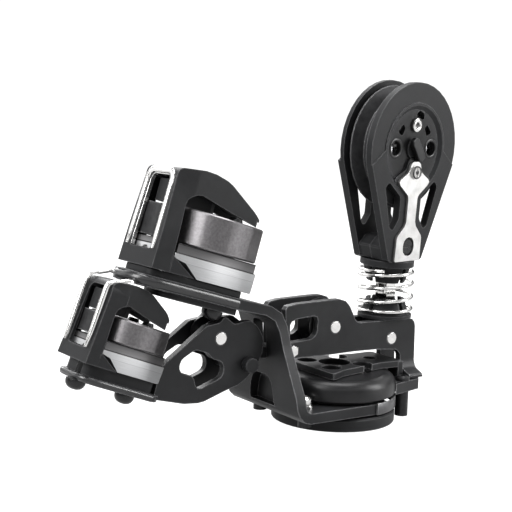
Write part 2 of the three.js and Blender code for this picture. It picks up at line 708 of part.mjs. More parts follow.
// Frame with two posts at the -x end, and the hood that reaches back over the cams
function fairlead({ scale, base, bolt, screw, frame, hood }) {
  const { start, end, half, taper, shoulder, sillH, postH, top, openHalf } = frame;
  const roofZ = top - frame.roof;
  const innerHalf = openHalf * 0.94;
  const endView = symmetricX([
    [half + 0.3, -0.6], [half, postH * 0.55, 40], [half - taper, top, shoulder],
  ]);
  const opening = symmetricX([[openHalf, sillH, 1], [innerHalf, roofZ, 3.5]]);
  const elevation = [
    [start, -0.6], [end, -0.6, 0.5], [end, postH, 4],
    ...hood.under, ...hood.tip, ...hood.top, [start + 1.6, top, 3],
  ];
  // hood plan, narrowing to the tip
  const plan = symmetricY([
    [start + 0.5, -half + 1.4], [end + 3, -half + 0.6, 8], [hood.end, -hood.tipHalf, 5],
  ]);
  // hollow under the roof so that the cams and rope pass
  const tunnel = [
    [start - 2, sillH], [end, sillH], [end, -2], [60, -2], [60, hood.under.at(-1)[1] - 4],
    ...hood.inner, [start - 2, roofZ],
  ];
  const gusset = [[end - 0.5, -0.6], [end + 13 * scale, -0.6], [end - 0.5, sillH]];
  const side = slabXZ(elevation, -half - 1, half + 1);
  const posts = cut(
    slabYZ(endView, start - 1, end + 4),
    slabYZ(opening, start - 2, end + 5),
  ).intersect(side);
  const roof = cut(
    side.intersect(slabXY(plan, -2, 80)),
    slabXZ(tunnel, -innerHalf, innerHalf),
    box(end + 0.01, 80, -40, 40, -10, hood.clearZ),
    box(start - 2, end + 0.5, -openHalf, openHalf, -10, roofZ),
  );
  const gussets = SIDES.map(([, sign]) =>
    slabXZ(gusset, ...span(sign, base.half + 0.12, half + 0.3)));
  return cut(
    join(posts, roof, ...gussets),
    rodZ(boltHoleR(bolt), -20, sillH + 2, 8, screw.place),
  );
}

for (const [tag, spec] of [["upper", upperCleat], ["lower", lowerCleat]]) {
  const { group } = spec;
  add(tag + "_cleat_pad", cleatPad(spec), blackPlastic, group);
  add(tag + "_cleat_base", cleatBase(spec), silver, group);
  add(tag + "_fairlead_screw", fairleadScrew(spec), blackPlastic, group);
  for (const [name, side] of SIDES) {
    add(`${tag}_cam_${name}`, cleatCam(side, spec), darkCam, group);
  }
  for (const [name, side] of SIDES) {
    add(`${tag}_cleat_bolt_${name}`, cleatBolt(side, spec), blackPlastic, group);
  }
  add(tag + "_fairlead", fairlead(spec), blackPlastic, group);
}

// ---------------------------------------------------------------- spring stand
const stand = new THREE.Group(); // turned with the block about the stand's own axis
stand.position.set(STAND_X, 0, 0);
stand.rotation.z = degToRad(BLOCK_TURN);
root.add(stand);

function standBlock() {
  const elevation = [[21.5, 33.4, 2], [41.6, 33.4, 2], [42.0, 47.9, 1], [21.0, 47.9, 2]];
  return cut(
    slabXZ(elevation, -5.7, 5.7),
    crossHole(3.03, 13, STAND_PIN),
    rodZ(POST_BORE_R, 43, 60, 13, [STAND_X, 0]),
  );
}

// Flange between z0 and z1 and a tapered skirt on to z2, split into four fingers
function springCup(z0, z1, z2, bore) {
  const up = Math.sign(z2 - z0);
  const profile = [
    [bore, z0], [13.6, z0], [13.6, z1], [12.0, z1], [9.6, z2], [8.1, z2], [9.9, z1],
    [bore, z1], [bore, z0],
  ];
  const slotEnds = [z1 + up * 0.8, z2 + up];
  const slotZ = [Math.min(...slotEnds), Math.max(...slotEnds)];
  return cut(
    latheZ(up > 0 ? profile : profile.reverse(), 24),
    box(-15, 15, -1.3, 1.3, ...slotZ),
    box(-1.3, 1.3, -15, 15, ...slotZ),
  );
}

function eyePost() {
  const pivot = [0, PIVOT_LOW];
  return cut(
    join(
      rodZ(3.0, 43.2, 56.3, 13),
      box(-2.9, 2.9, -1.6, 1.6, 56, PIVOT_LOW),
      rodY(4.0, -1.6, 1.6, 16, pivot),
    ),
    rodY(1.7, -5, 5, 13, pivot),
  );
}

// Two forks at right angles, each with its pivot pin
function shackle() {
  const low = [0, PIVOT_LOW];
  const high = [0, PIVOT_UP];
  const inner = 1.8;
  const outer = 3.6;
  return join(
    box(-outer, outer, -outer, outer, 65.0, 67.4),
    rodY(3.8, inner, outer, 13, low),
    rodY(3.8, -outer, -inner, 16, low),
    box(-outer, outer, inner, outer, PIVOT_LOW, 66),
    box(-outer, outer, -outer, -inner, PIVOT_LOW, 66),
    rodX(3.8, inner, outer, 16, high),
    rodX(3.8, -outer, -inner, 16, high),
    box(inner, outer, -outer, outer, 67, PIVOT_UP),
    box(-outer, -inner, -outer, outer, 67, PIVOT_UP),
    rodY(1.6, -3, 3, 13, low),
    rodX(1.6, -3, 3, 13, high),
  );
}

// Coil spring with a closed turn at each end
function standSpring() {
  // [turns from the bottom, height]
  const knots = [[0, 50.95], [1, 52.95], [2.3, 62.0], [3.6, 70.6], [4.6, 72.6]];
  const heightAt = (turns) => {
    let i = 0;
    while (i < knots.length - 2 && turns > knots[i + 1][0]) i++;
    const [turns0, height0] = knots[i];
    const [turns1, height1] = knots[i + 1];
    return mapLinear(turns, turns0, turns1, height0, height1);
  };
  const points = Array.from({ length: 74 }, (_, i) => {
    const turns = i / 16;
    const angle = 2 * Math.PI * turns;
    const below = heightAt(Math.max(0, turns - 0.1));
    const above = heightAt(Math.min(4.6, turns + 0.1));
    const z = i === 0 ? knots[0][1] : (below + heightAt(turns) + above) / 3;
    return new THREE.Vector3(SPRING_R * Math.cos(angle), SPRING_R * Math.sin(angle), z);
  });
  const wire = Array.from({ length: 5 }, (_, i) => {
    const angle = (2 * Math.PI * i) / 5;
    return new THREE.Vector2(WIRE_R * Math.cos(angle), WIRE_R * Math.sin(angle));
  });
  return solidOf(new THREE.ExtrudeGeometry(new THREE.Shape(wire), {
    steps: 64,
    extrudePath: new THREE.CatmullRomCurve3(points, false, "centripetal"),
    bevelEnabled: false,
  }));
}

add("stand_block", standBlock(), blackPlastic);
add("spring_cup_lower", springCup(48.2, 50.0, 57.8, POST_BORE_R), blackPlastic, stand);
add("eye_post", eyePost(), steel, stand);
add("shackle", shackle(), steel, stand);
add("stand_spring", standSpring(), steel, stand);

// ---------------------------------------------------------------- block
// Everything here is in the block's own frame: z runs from its lower pivot to the sheave, y is the
// sheave axis. Outlines are [x, z, corner radius].
const HUB = [0, HUB_UP];
const strapOutline = symmetricX([
  [-9.8, 6.2, 0.8], [-9.6, 18.4, 2], [-3.5, 24.6, 3], [-3.6, 38.6, 3], [-12.8, 45.6, 1.6],
  [-4.6, 50.6, 2], [-3.6, 55.6, 3.4],
]);

// Openings in a cheek: the first two outlines appear on both sides of its middle
const cheekWindow = [
  [-20.2, 43.0, 1.2], [-17.6, 45.6, 1.2], [-8.0, 38.2, 2], [-8.0, 27.2, 2],
  [-12.0, 21.6, 1.5], [-14.6, 23.4, 1.5],
];
const cheekSlot = [[-13, 69.6, 0.8], [-9.4, 73.6, 0.8], [-7.4, 71.6, 0.8], [-9.6, 67.8, 0.8]];
const topSlot = [
  [-0.6, 78.0, 0.8], [2.4, 80.4, 0.8], [6.2, 79.2, 0.8], [6.4, 75.6, 0.8], [4.0, 76.2, 0.8],
];

// Recess round the hub, leaving the land under the strap
function cheekRecess(side) {
  const floorR = 19.4;
  const [lowR, highR] = side < 0 ? [RECESS_R, floorR] : [floorR, RECESS_R];
  const land = strapOutline.map(([x, z, r]) => [x * 1.18, 30 + (z - 30) * 1.063, r]);
  return cut(
    rodY(lowR, ...span(side, 9.5, CHEEK_OUT + 1), 26, HUB, highR),
    slabXZ(land, ...span(side, 5, 20)),
  );
}

// Cutter that steps the rim in above a slanting line at each end
function cheekRimStep(side) {
  const above = symmetricX([[20.5, 62.5], [44, 44], [44, 110]]);
  const depth = side < 0 ? 0.5 : 1.7;
  return cut(
    slabXZ(above, ...span(side, CHEEK_OUT - depth, 20)),
    rodY(RECESS_R, ...span(side, 5, 21), 26, HUB),
  );
}

// This cheek's half of the foot between the cheeks
function cheekFoot(side) {
  return cut(
    slabXZ(symmetricX([[12.0, 6.0, 1], [15.0, 13.0, 1], [10.4, 17.6, 2]]),
      ...span(side, 0.06, 7.1)),
    rodY(2.55, ...span(side, -1, 20), 9, [0, FOOT_BOLT_Z]),
    rodZ(POST_BORE_R, 0, 9.4, 13),
  );
}

function cheek(side) {
  const arc = Array.from({ length: 23 }, (_, i) => {
    const angle = degToRad(-13.4 + (206.8 * i) / 22);
    return [CHEEK_R * Math.cos(angle), HUB_UP + CHEEK_R * Math.sin(angle)];
  });
  const body = [[-12.6, 6.0, 1.5], [12.6, 6.0, 1.5], ...arc];
  const through = span(side, 4, 20);
  const openings = [
    cheekWindow, flipped(cheekWindow, -1, 1), cheekSlot, flipped(cheekSlot, -1, 1), topSlot,
  ];
  const plate = cut(
    slabXZ(body, ...span(side, 7.0, CHEEK_OUT)),
    cheekRecess(side),
    rodY(5.6, ...span(side, 9.5, 12), 18, HUB),
    cheekRimStep(side),
    ...openings.map((opening) => slabXZ(opening, ...through)),
    rodY(3.6, ...through, 12, [-13.6, HUB_UP + 0.3]),
    rodY(3.6, ...through, 12, [13.6, HUB_UP + 0.3]),
    rodY(2.05, ...through, 9, [0, CHEEK_SCREW_Z]),
    rodY(2.05, ...through, 9, [0, STRAP_SCREW_Z]),
    rodY(2.55, ...span(side, -1, 20), 9, [0, FOOT_BOLT_Z]),
    rodY(3.25, ...through, 10, HUB),
  );
  return join(plate, cheekFoot(side));
}

function strap(side) {
  const through = span(side, 4, 20);
  return cut(
    slabXZ(strapOutline, ...span(side, CHEEK_OUT + 0.03, CHEEK_OUT + 1.35)),
    rodY(2.05, ...through, 9, [0, STRAP_SCREW_Z]),
    slabXZ(symmetricX([[4.2, 8.8, 4.0], [4.2, 18.2, 4.0]]), ...through),
  );
}

// Screw through both cheeks, headed at both ends and slotted on the near one
function cheekScrew(z, headR, seat) {
  return cut(
    join(
      rodY(1.95, -seat, seat, 9, [0, z]),
      rodY(headR, -seat - 1.1, -seat + 0.02, 12, [0, z]),
      rodY(headR, seat - 0.02, seat + 1.1, 12, [0, z]),
    ),
    box(-0.45, 0.45, -seat - 2, -seat - 0.5, z - 3, z + 3),
  );
}

function footBolt() {
  const place = [0, FOOT_BOLT_Z];
  return cut(
    join(
      rodY(2.45, -11.6, 11.6, 9, place),
      rodY(3.7, -11.9, -11.03, 13, place),
      rodY(3.7, 11.03, 11.9, 13, place),
    ),
    box(-4, 4, -13, -11.5, FOOT_BOLT_Z - 0.5, FOOT_BOLT_Z + 0.5),
  );
}

function blockEye() {
  return cut(
    join(rodZ(3.0, 4.2, 9.2, 13), box(-1.6, 1.6, -2.9, 2.9, 0, 4.4), rodX(4.0, -1.6, 1.6, 16)),
    rodX(1.7, -5, 5, 13),
  );
}

// Sheave with a faceted rope groove and a toothed ratchet pocket on its near side
function ratchetSheave() {
  const half = SHEAVE_W / 2;
  const profile = [
    [16.5, -half], [SHEAVE_R - 1, -half], [SHEAVE_R, -half + 0.8], [SHEAVE_R, -half + 1.5],
    [24.4, -1.5], [24.4, 1.5], [SHEAVE_R, half - 1.5], [SHEAVE_R, half - 0.8],
    [SHEAVE_R - 1, half], [16.5, half], [16.5, -half],
  ];
  const teeth = [];
  for (let i = 0; i < 12; i++) {
    const tip = degToRad(i * 30);
    const root = tip + 0.04;
    teeth.push([18.6 * Math.cos(tip), 18.6 * Math.sin(tip)]);
    teeth.push([17.0 * Math.cos(root), 17.0 * Math.sin(root)]);
  }
  return shifted(cut(latheY(profile, 36), slabXZ(teeth, -half - 1, -3.4)), 0, 0, HUB_UP);
}

// Plain ring about the sheave axis
function hubRing(bore, radius, y0, y1) {
  const profile = [[bore, y0], [radius, y0], [radius, y1], [bore, y1], [bore, y0]];
  return shifted(latheY(profile, 32), 0, 0, HUB_UP);
}

// The pawl's peg, and outlines given relative to the sheave axis
const PAWL_PEG = [-9.0, HUB_UP + 1.6];
const aboutHub = (points) => points.map(([x, z, r]) => [x, HUB_UP + z, r]);

// Fixed core: bearing seat, bore for the switch shaft, and a pocket with a peg for the pawl
function sheaveCore() {
  const pocket = aboutHub([
    [-12.6, -2.2], [-6.2, -1.6], [-5.4, 4.4], [-9.0, 10.0], [-9.6, 16], [-20, 16],
    [-20, 3.6], [-13.4, 1.6],
  ]);
  return cut(
    join(
      cut(hubRing(3.08, 14.2, -6.95, 6.95), slabXZ(pocket, -8, -3.5)),
      rodY(1.2, -6.9, -3.3, 9, PAWL_PEG),
    ),
    rodY(2.0, -8, 8, 9, [0, CHEEK_SCREW_Z]),
    rodY(2.0, -8, 8, 9, [0, STRAP_SCREW_Z]),
  );
}

// Shaft through the axle with two round heads and a finger blade on the near one
function ratchetSwitch() {
  const bladePose = new THREE.Matrix4().makeRotationY(degToRad(-28)).setPosition(0, 0, HUB_UP);
  return join(
    rodY(3.0, -9.7, 9.7, 10, HUB),
    rodY(5.2, -10.5, -9.55, 18, HUB),
    rodY(5.2, 9.55, 10.5, 18, HUB),
    moved(box(-1.1, 1.1, -12.6, -10.4, -4.7, 4.7), bladePose),
  );
}

// Pawl that works against the sheave's inner teeth
function ratchetPawl() {
  const finger = aboutHub([[-11.0, 1.2], [-7.6, 2.8], [-11.6, 8.9, 0.6], [-13.9, 8.1, 0.6]]);
  return cut(
    join(rodY(2.2, -6.2, -3.8, 12, PAWL_PEG), slabXZ(finger, -6.2, -3.8)),
    rodY(1.28, -8, 0, 12, PAWL_PEG),
  );
}

for (const [name, side] of SIDES) add("cheek_" + name, cheek(side), blackPlastic, block);
for (const [name, side] of SIDES) add("strap_" + name, strap(side), steel, block);
add("strap_screw", cheekScrew(STRAP_SCREW_Z, 3.1, CHEEK_OUT + 1.38), steel, block);
add("cheek_screw", cheekScrew(CHEEK_SCREW_Z, 3.2, 9.53), steel, block);
add("foot_bolt", footBolt(), blackPlastic, block);
add("block_eye", blockEye(), steel, block);
add("spring_cup_upper", springCup(5.9, 2.6, -5.6, 5.4), blackPlastic, block);
add("ratchet_sheave", ratchetSheave(), blackPlastic, block);
add("sheave_bearing", hubRing(14.3, 16.42, -3.2, 5.8), delrin, block);
add("sheave_core", sheaveCore(), silver, block);
add("ratchet_switch", ratchetSwitch(), blackPlastic, block);
add("ratchet_pawl", ratchetPawl(), silver, block);

export default root;
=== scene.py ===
import json
from math import cos, inf, pi, radians, sin

import bmesh
import bpy
from mathutils import Matrix, Vector


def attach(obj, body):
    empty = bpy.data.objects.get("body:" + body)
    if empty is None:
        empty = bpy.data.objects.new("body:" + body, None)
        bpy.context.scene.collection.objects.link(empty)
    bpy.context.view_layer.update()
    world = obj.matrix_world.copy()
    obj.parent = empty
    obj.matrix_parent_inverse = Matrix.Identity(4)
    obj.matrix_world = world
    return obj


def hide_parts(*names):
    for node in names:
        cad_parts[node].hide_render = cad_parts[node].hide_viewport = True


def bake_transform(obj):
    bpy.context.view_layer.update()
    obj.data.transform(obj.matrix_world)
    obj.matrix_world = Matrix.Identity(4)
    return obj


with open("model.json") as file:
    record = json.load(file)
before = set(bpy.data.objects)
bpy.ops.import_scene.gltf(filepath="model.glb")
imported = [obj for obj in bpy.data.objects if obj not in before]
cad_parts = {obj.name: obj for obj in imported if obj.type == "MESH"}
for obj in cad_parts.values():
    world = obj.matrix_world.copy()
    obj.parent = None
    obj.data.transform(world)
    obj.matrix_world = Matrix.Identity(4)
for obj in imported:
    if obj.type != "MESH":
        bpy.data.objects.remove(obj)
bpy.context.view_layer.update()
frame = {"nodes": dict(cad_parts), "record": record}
NODES = frame["nodes"]
SLOTS = {part["node"]: part["material_slot"] for part in frame["record"]["subparts"]}
MM = 0.001


# ---------------------------------------------------------------- frames of the assemblies, metres
def frame_at(x, z, angle, axis):
    return Matrix.Translation(Vector((x, 0, z))) @ Matrix.Rotation(radians(angle), 4, axis)


STAND_X = 0.0308
UPPER = frame_at(-0.078, 0.0721, 15.8, "Y")
LOWER = frame_at(-0.121, 0.0356, 20.0, "Y")
STAND = frame_at(STAND_X, 0, 10, "Z")
BLOCK = frame_at(STAND_X, 0.072, 10, "Z") @ Matrix.Rotation(radians(3.5), 4, "X")

# ---------------------------------------------------------------- shared sizes
HUB_Z = 61.5  # middle of the cheeks and of the switch, in BLOCK
UPPER_BASE_TOP = 12.75
LOWER_BASE_TOP = 10.95

# Edge rounding of the CAD pieces
DEFAULT_ROUNDING = 0.25
ROUNDING = {
    "upper_arm": 1.3, "lower_arm": 0.5,
    "upper_cleat_pad": 0.5, "lower_cleat_pad": 0.4,
    "channel_plate_near": 0.6, "channel_plate_far": 0.6, "bridge_plate": 0.5,
    "upper_fairlead": 0.7, "lower_fairlead": 0.55,
    "upper_cam_near": 1.2, "upper_cam_far": 1.2,
    "lower_cam_near": 0.9, "lower_cam_far": 0.9,
    "cheek_near": 0.75, "cheek_far": 0.75,
    "base_disc": 0.5, "cover_disc": 0.35,
    "upper_cleat_base": 0.35, "lower_cleat_base": 0.3,
    "stand_spring": 0.0, "adjuster_bolt": 0.6,
}

# The openings of the two fairleads, with what is seen inside them
OPENINGS = [
    dict(level="upper", place=UPPER, x_lip=-33.3, x_back=-26.8, pocket_half=12.0,
         z_floor=7.2, z_ceiling=39.5, base_top=UPPER_BASE_TOP, tone_split=9.9, cam_top=28.6,
         rib_x=(-31.0, -5.2), rib_z=(28.85, 39.0)),
    dict(level="lower", place=LOWER, x_lip=-20.2, x_back=-15.7, pocket_half=10.9,
         z_floor=5.4, z_ceiling=31.4, base_top=LOWER_BASE_TOP, tone_split=8.3, cam_top=21.8,
         rib_x=(-19.0, -3.6), rib_z=(22.0, 31.0)),
]
POCKET_GAP = 0.3  # from the side of a pocket to the pieces inside it


# ---------------------------------------------------------------- node trees
def grey(value):
    return (value, value, value)


class Graph:
    """Builds a node tree. An input is given as a value, or as the socket to link to it."""

    def __init__(self, tree):
        self.tree = tree

    def feed(self, node, inputs):
        for key, value in inputs.items():
            if isinstance(value, bpy.types.NodeSocket):
                self.tree.links.new(value, node.inputs[key])
            else:
                node.inputs[key].default_value = value

    def add(self, kind, inputs={}, **settings):
        node = self.tree.nodes.new("ShaderNode" + kind)
        for key, value in settings.items():
            setattr(node, key, value)
        self.feed(node, inputs)
        return node

    def math(self, operation, first, second=None, clamp=False):
        inputs = {0: first} if second is None else {0: first, 1: second}
        return self.add("Math", inputs, operation=operation, use_clamp=clamp).outputs[0]

    def noise(self, scale, detail, roughness=0.5, vector=None):
        inputs = {"Scale": scale, "Detail": detail, "Roughness": roughness}
        if vector is not None:
            inputs["Vector"] = vector
        return self.add("TexNoise", inputs).outputs["Fac"]

    def ramp(self, source, stops):
        """Colour ramp through stops of (position, colour)."""
        node = self.add("ValToRGB", {0: source})
        elements = node.color_ramp.elements
        for element, (position, colour) in zip(elements, (stops[0], stops[-1])):
            element.position = position
            element.color = (*colour, 1)
        for position, colour in stops[1:-1]:
            elements.new(position).color = (*colour, 1)
        return node.outputs[0]

    def mix(self, factor, first, second, blend="MIX"):
        if isinstance(second, tuple):
            second = (*second, 1)
        inputs = {0: factor, 6: first, 7: second}
        return self.add("Mix", inputs, data_type="RGBA", blend_type=blend).outputs[2]

    def remap(self, value, source=(0.0, 1.0), target=(0.0, 1.0)):
        return self.add("MapRange", {
            "Value": value,
            "From Min": source[0], "From Max": source[1],
            "To Min": target[0], "To Max": target[1],
        }).outputs["Result"]

    def bump(self, height, strength, distance=0.0002):
        inputs = {"Strength": strength, "Distance": distance, "Height": height}
        return self.add("Bump", inputs).outputs[0]

    def position(self):
        return self.add("TexCoord").outputs["Object"]

    def mapped(self, scale=(1, 1, 1)):
        return self.add("Mapping", {0: self.position(), "Scale": scale}).outputs[0]

    def local(self, position, place, axis, origin=0.0):
        """Coordinate along one axis of the frame place, measured from origin, in metres."""
        row = place.inverted()[axis]
        dot = self.add("VectorMath", {0: position, 1: tuple(row[:3])}, operation="DOT_PRODUCT")
        return self.math("ADD", dot.outputs["Value"], row[3] - origin)

    def edge_wear_and_highlight(self, radius=0.0009):
        """1 along convex edges: the bevel normal leans away from the true normal there. The mask
        marks both worn edges and painted edge highlights.
        """
        rounded = self.add("Bevel", {"Radius": radius}, samples=4).outputs[0]
        normal = self.add("NewGeometry").outputs["Normal"]
        dot = self.add("VectorMath", {0: rounded, 1: normal}, operation="DOT_PRODUCT")
        lean = self.math("SUBTRACT", 1.0, dot.outputs["Value"])
        return self.remap(lean, source=(0.0, 0.22))


def new_material(name):
    material = bpy.data.materials.new(name)
    material.use_nodes = True
    graph = Graph(material.node_tree)
    graph.tree.nodes.clear()
    output = graph.add("OutputMaterial")
    surface = graph.add("BsdfPrincipled")
    graph.feed(output, {0: surface.outputs[0]})
    return material, graph, surface


def copy_material(source, suffix):
    material = source.copy()
    material.name = source.name + suffix
    graph = Graph(material.node_tree)
    surface = next(n for n in graph.tree.nodes if n.type == "BSDF_PRINCIPLED")
    return material, graph, surface


# ---------------------------------------------------------------- kinds of material
def finish(name, dark, light, rough, grain, bump, blotch,
           metal=0.0, wear=None, coat=0.0, specular=0.5, scratch=0.0):
    """Two blotchy tones, blotches in the roughness and a fine grain in the bump.

    grain, blotch and scratch are noise scales, rough is the range of the roughness, and wear
    is (amount, tone) of the edges, lightened both as worn edges and as a painted edge highlight.
    """
    material, graph, surface = new_material(name)
    where = graph.mapped()
    blotches = graph.noise(blotch, 4.0, 0.6, where)
    fine = graph.noise(grain, 3.0, 0.65, where)
    colour = graph.ramp(blotches, [(0.3, dark), (0.7, light)])
    # Edges lightened towards the tone: partly wear, partly a painted edge highlight.
    if wear is not None:
        amount, tone = wear
        breakup = graph.noise(700.0, 5.0, vector=where)
        patchy = graph.math("MULTIPLY", breakup, amount)
        worn_and_lit = graph.math("MULTIPLY", graph.edge_wear_and_highlight(), patchy, clamp=True)
        colour = graph.mix(worn_and_lit, colour, tone)
    blend = graph.math("ADD", graph.math("MULTIPLY", blotches, 0.6),
                       graph.math("MULTIPLY", fine, 0.4))
    height = fine
    if scratch:
        lines = graph.noise(scratch, 6.0, 0.7, graph.mapped((0.02, 1.0, 1.0)))
        height = graph.math("ADD", height, graph.math("MULTIPLY", lines, 1.4))
    graph.feed(surface, {
        "Base Color": colour,
        "Roughness": graph.remap(blend, source=(0.3, 0.7), target=rough),
        "Normal": graph.bump(height, bump),
        "Metallic": metal,
        "Specular IOR Level": specular,
        "Coat Weight": coat,
        "Coat Roughness": 0.25,
    })
    return material


def drum(source, place, middle, radius):
    """Adds a wide arc to the bump of a finish, along x of the frame place."""
    material, graph, surface = copy_material(source, "_drum")
    x = graph.local(graph.position(), place, 0, middle * MM)
    height = graph.math("MULTIPLY", graph.math("MULTIPLY", x, x), -0.5 / (radius * MM))
    grain_bump = surface.inputs["Normal"].links[0].from_node
    graph.feed(grain_bump, {"Normal": graph.bump(height, strength=1.0, distance=1.0)})
    return material


def two_tone(name, place, split, top):
    """Bright brushed metal up to split, a dark band from there to top, black lines between."""
    material, graph, surface = new_material(name)
    position = graph.position()
    x, y, z = [graph.math("MULTIPLY", graph.local(position, place, axis), 1000.0)
               for axis in range(3)]
    grain = graph.add("CombineXYZ", {  # long in x and y, fine in z
        0: graph.math("MULTIPLY", x, 0.05),
        1: graph.math("MULTIPLY", y, 0.05),
        2: graph.math("MULTIPLY", z, 6.0),
    }).outputs[0]
    brush = graph.noise(1.6, 6.0, 0.7, grain)
    edge = split / top
    black = grey(0.004)
    rim_black = grey(0.006)
    # The silver lightens from its foot to the split. The dark band darkens from the split to the
    # top as painted shading.
    tone = graph.ramp(graph.math("DIVIDE", z, top), [
        (0.0, (0.62, 0.625, 0.635)),
        (edge * 0.56, (0.70, 0.705, 0.715)),
        (edge * 0.575, (0.50, 0.505, 0.515)),
        (edge * 0.60, (0.74, 0.745, 0.755)),
        (edge - 0.025, (0.78, 0.785, 0.795)),
        (edge - 0.012, black),
        (edge + 0.014, black),
        (edge + 0.030, (0.30, 0.296, 0.30)),
        (0.955, (0.20, 0.197, 0.20)),
        (0.975, rim_black),
        (1.0, rim_black),
    ])
    streaks = graph.ramp(brush, [(0.3, grey(0.72)), (0.7, grey(1.0))])
    brushed = graph.mix(1.0, tone, streaks, "MULTIPLY")
    # Edges lightened: partly wear, partly a painted edge highlight.
    worn_and_lit = graph.math("MULTIPLY", graph.edge_wear_and_highlight(0.0006), 0.45)
    graph.feed(surface, {
        "Base Color": graph.mix(worn_and_lit, brushed, (0.72, 0.72, 0.73)),
        "Roughness": graph.remap(brush, target=(0.26, 0.44)),
        "Normal": graph.bump(brush, strength=0.10),
        "Metallic": 1.0,
    })
    return material


def bolt_tone(name, level):
    """Bright steel above the level (metres), blackened steel below it."""
    material, graph, surface = new_material(name)
    where = graph.mapped()
    height = graph.add("SeparateXYZ", {0: where}).outputs["Z"]
    mottle = graph.noise(900.0, 4.0, vector=where)
    bright = graph.math("GREATER_THAN", height, level)
    low = graph.ramp(mottle, [(0.3, (0.016, 0.016, 0.017)), (0.7, (0.034, 0.034, 0.036))])
    high = graph.ramp(mottle, [(0.3, (0.64, 0.635, 0.625)), (0.7, (0.80, 0.795, 0.785))])
    base_rough = graph.math("SUBTRACT", 0.24, graph.math("MULTIPLY", bright, 0.16))
    graph.feed(surface, {
        "Base Color": graph.mix(bright, low, high),
        "Roughness": graph.math("ADD", graph.math("MULTIPLY", mottle, 0.2), base_rough),
        "Metallic": graph.math("ADD", 0.4, graph.math("MULTIPLY", bright, 0.6)),
        "Normal": graph.bump(mottle, strength=0.08),
    })
    return material


def hub_shade(source, place, hub_z):
    """Paints shade on a cheek towards its hub and a highlight on the ring round it."""
    material, graph, surface = copy_material(source, "_hub")
    position = graph.position()
    squares = []
    for axis, origin in ((0, 0.0), (2, hub_z * MM)):
        offset = graph.local(position, place, axis, origin)
        squares.append(graph.math("MULTIPLY", offset, offset))
    distance = graph.math("SQRT", graph.math("ADD", *squares))
    full_radius = 40.0  # where the ramp ends
    # Painted shade in the recess round the hub, a painted highlight on the ring.
    tone = graph.ramp(graph.math("MULTIPLY", distance, 1000.0 / full_radius), [
        (0.0, grey(0.45)), (0.34, grey(0.52)), (0.42, grey(0.85)), (0.46, grey(1.5)),
        (0.52, grey(1.25)), (0.60, grey(1.0)), (1.0, grey(1.0)),
    ])
    colour = surface.inputs["Base Color"].links[0].from_socket
    graph.feed(surface, {"Base Color": graph.mix(1.0, colour, tone, "MULTIPLY")})
    return material


# ---------------------------------------------------------------- the materials
MATS = {  # by material slot
    # glass-filled nylon: dark grey-black, satin, slightly mottled
    "black_moulding": finish(
        "nylon_moulded", (0.015, 0.0152, 0.0165), (0.025, 0.0255, 0.027), rough=(0.42, 0.56),
        grain=2600, bump=0.32, blotch=90, wear=(1.1, (0.20, 0.20, 0.205)), specular=0.30),
    # black anodised plate: bead blasted, satin
    "black_anodised": finish(
        "anodised_plate", (0.014, 0.0142, 0.0155), (0.026, 0.0265, 0.028), rough=(0.36, 0.48),
        grain=3000, bump=0.24, blotch=60, metal=0.12, wear=(1.5, (0.34, 0.34, 0.35)),
        specular=0.36),
    "bearing_plastic": finish(
        "acetal_black", (0.006, 0.006, 0.0065), (0.011, 0.011, 0.012), rough=(0.28, 0.4),
        grain=4000, bump=0.05, blotch=120),
    "polished_steel": finish(
        "steel_polished", (0.66, 0.655, 0.645), (0.80, 0.795, 0.785), rough=(0.08, 0.2),
        grain=2500, bump=0.05, blotch=260, metal=1.0),
    "stainless_plate": finish(
        "steel_brushed", (0.50, 0.497, 0.49), (0.64, 0.636, 0.63), rough=(0.34, 0.46),
        grain=5200, bump=0.10, blotch=200, metal=1.0, scratch=5200),
    "bare_aluminium": finish(
        "aluminium_machined", (0.60, 0.605, 0.62), (0.74, 0.745, 0.76), rough=(0.24, 0.38),
        grain=4200, bump=0.06, blotch=120, metal=1.0, scratch=4200),
    "cam_metal": finish(
        "cam_hard_coat", (0.17, 0.164, 0.169), (0.25, 0.242, 0.247), rough=(0.30, 0.44),
        grain=3200, bump=0.3, blotch=900, metal=0.95, wear=(1.3, (0.50, 0.49, 0.50))),
    "sheave_metal": finish(
        "sheave_coat", (0.016, 0.016, 0.017), (0.040, 0.040, 0.042), rough=(0.42, 0.62),
        grain=1500, bump=0.7, blotch=240, metal=0.3, wear=(1.6, (0.45, 0.45, 0.46))),
    "black_screws": finish(
        "screw_black", (0.008, 0.008, 0.0085), (0.016, 0.016, 0.017), rough=(0.22, 0.34),
        grain=3000, bump=0.08, blotch=200, metal=0.2, specular=0.6),
}
BLACKENED = finish(
    "steel_blackened", (0.020, 0.020, 0.021), (0.042, 0.042, 0.044), rough=(0.24, 0.36),
    grain=3200, bump=0.1, blotch=300, metal=0.7, wear=(1.0, grey(0.3)))
DISC_GLOSS = finish(
    "disc_gloss", (0.010, 0.010, 0.011), (0.017, 0.017, 0.018), rough=(0.33, 0.42),
    grain=5000, bump=0.1, blotch=110, wear=(0.9, (0.16, 0.16, 0.165)), coat=0.08, specular=0.4)
EDGE_GLOSS = finish(
    "edge_gloss", (0.016, 0.016, 0.017), (0.028, 0.028, 0.030), rough=(0.24, 0.36),
    grain=3000, bump=0.06, blotch=160, coat=0.35, specular=0.6)
RING_SATIN = finish(
    "ring_satin", (0.10, 0.10, 0.103), (0.14, 0.14, 0.143), rough=(0.34, 0.48),
    grain=5200, bump=0.12, blotch=160, metal=0.4, wear=(1.0, grey(0.6)))
STRIP = finish(
    "strip_polished", (0.80, 0.795, 0.785), (0.90, 0.895, 0.885), rough=(0.14, 0.22),
    grain=1800, bump=0.015, blotch=300, metal=1.0)

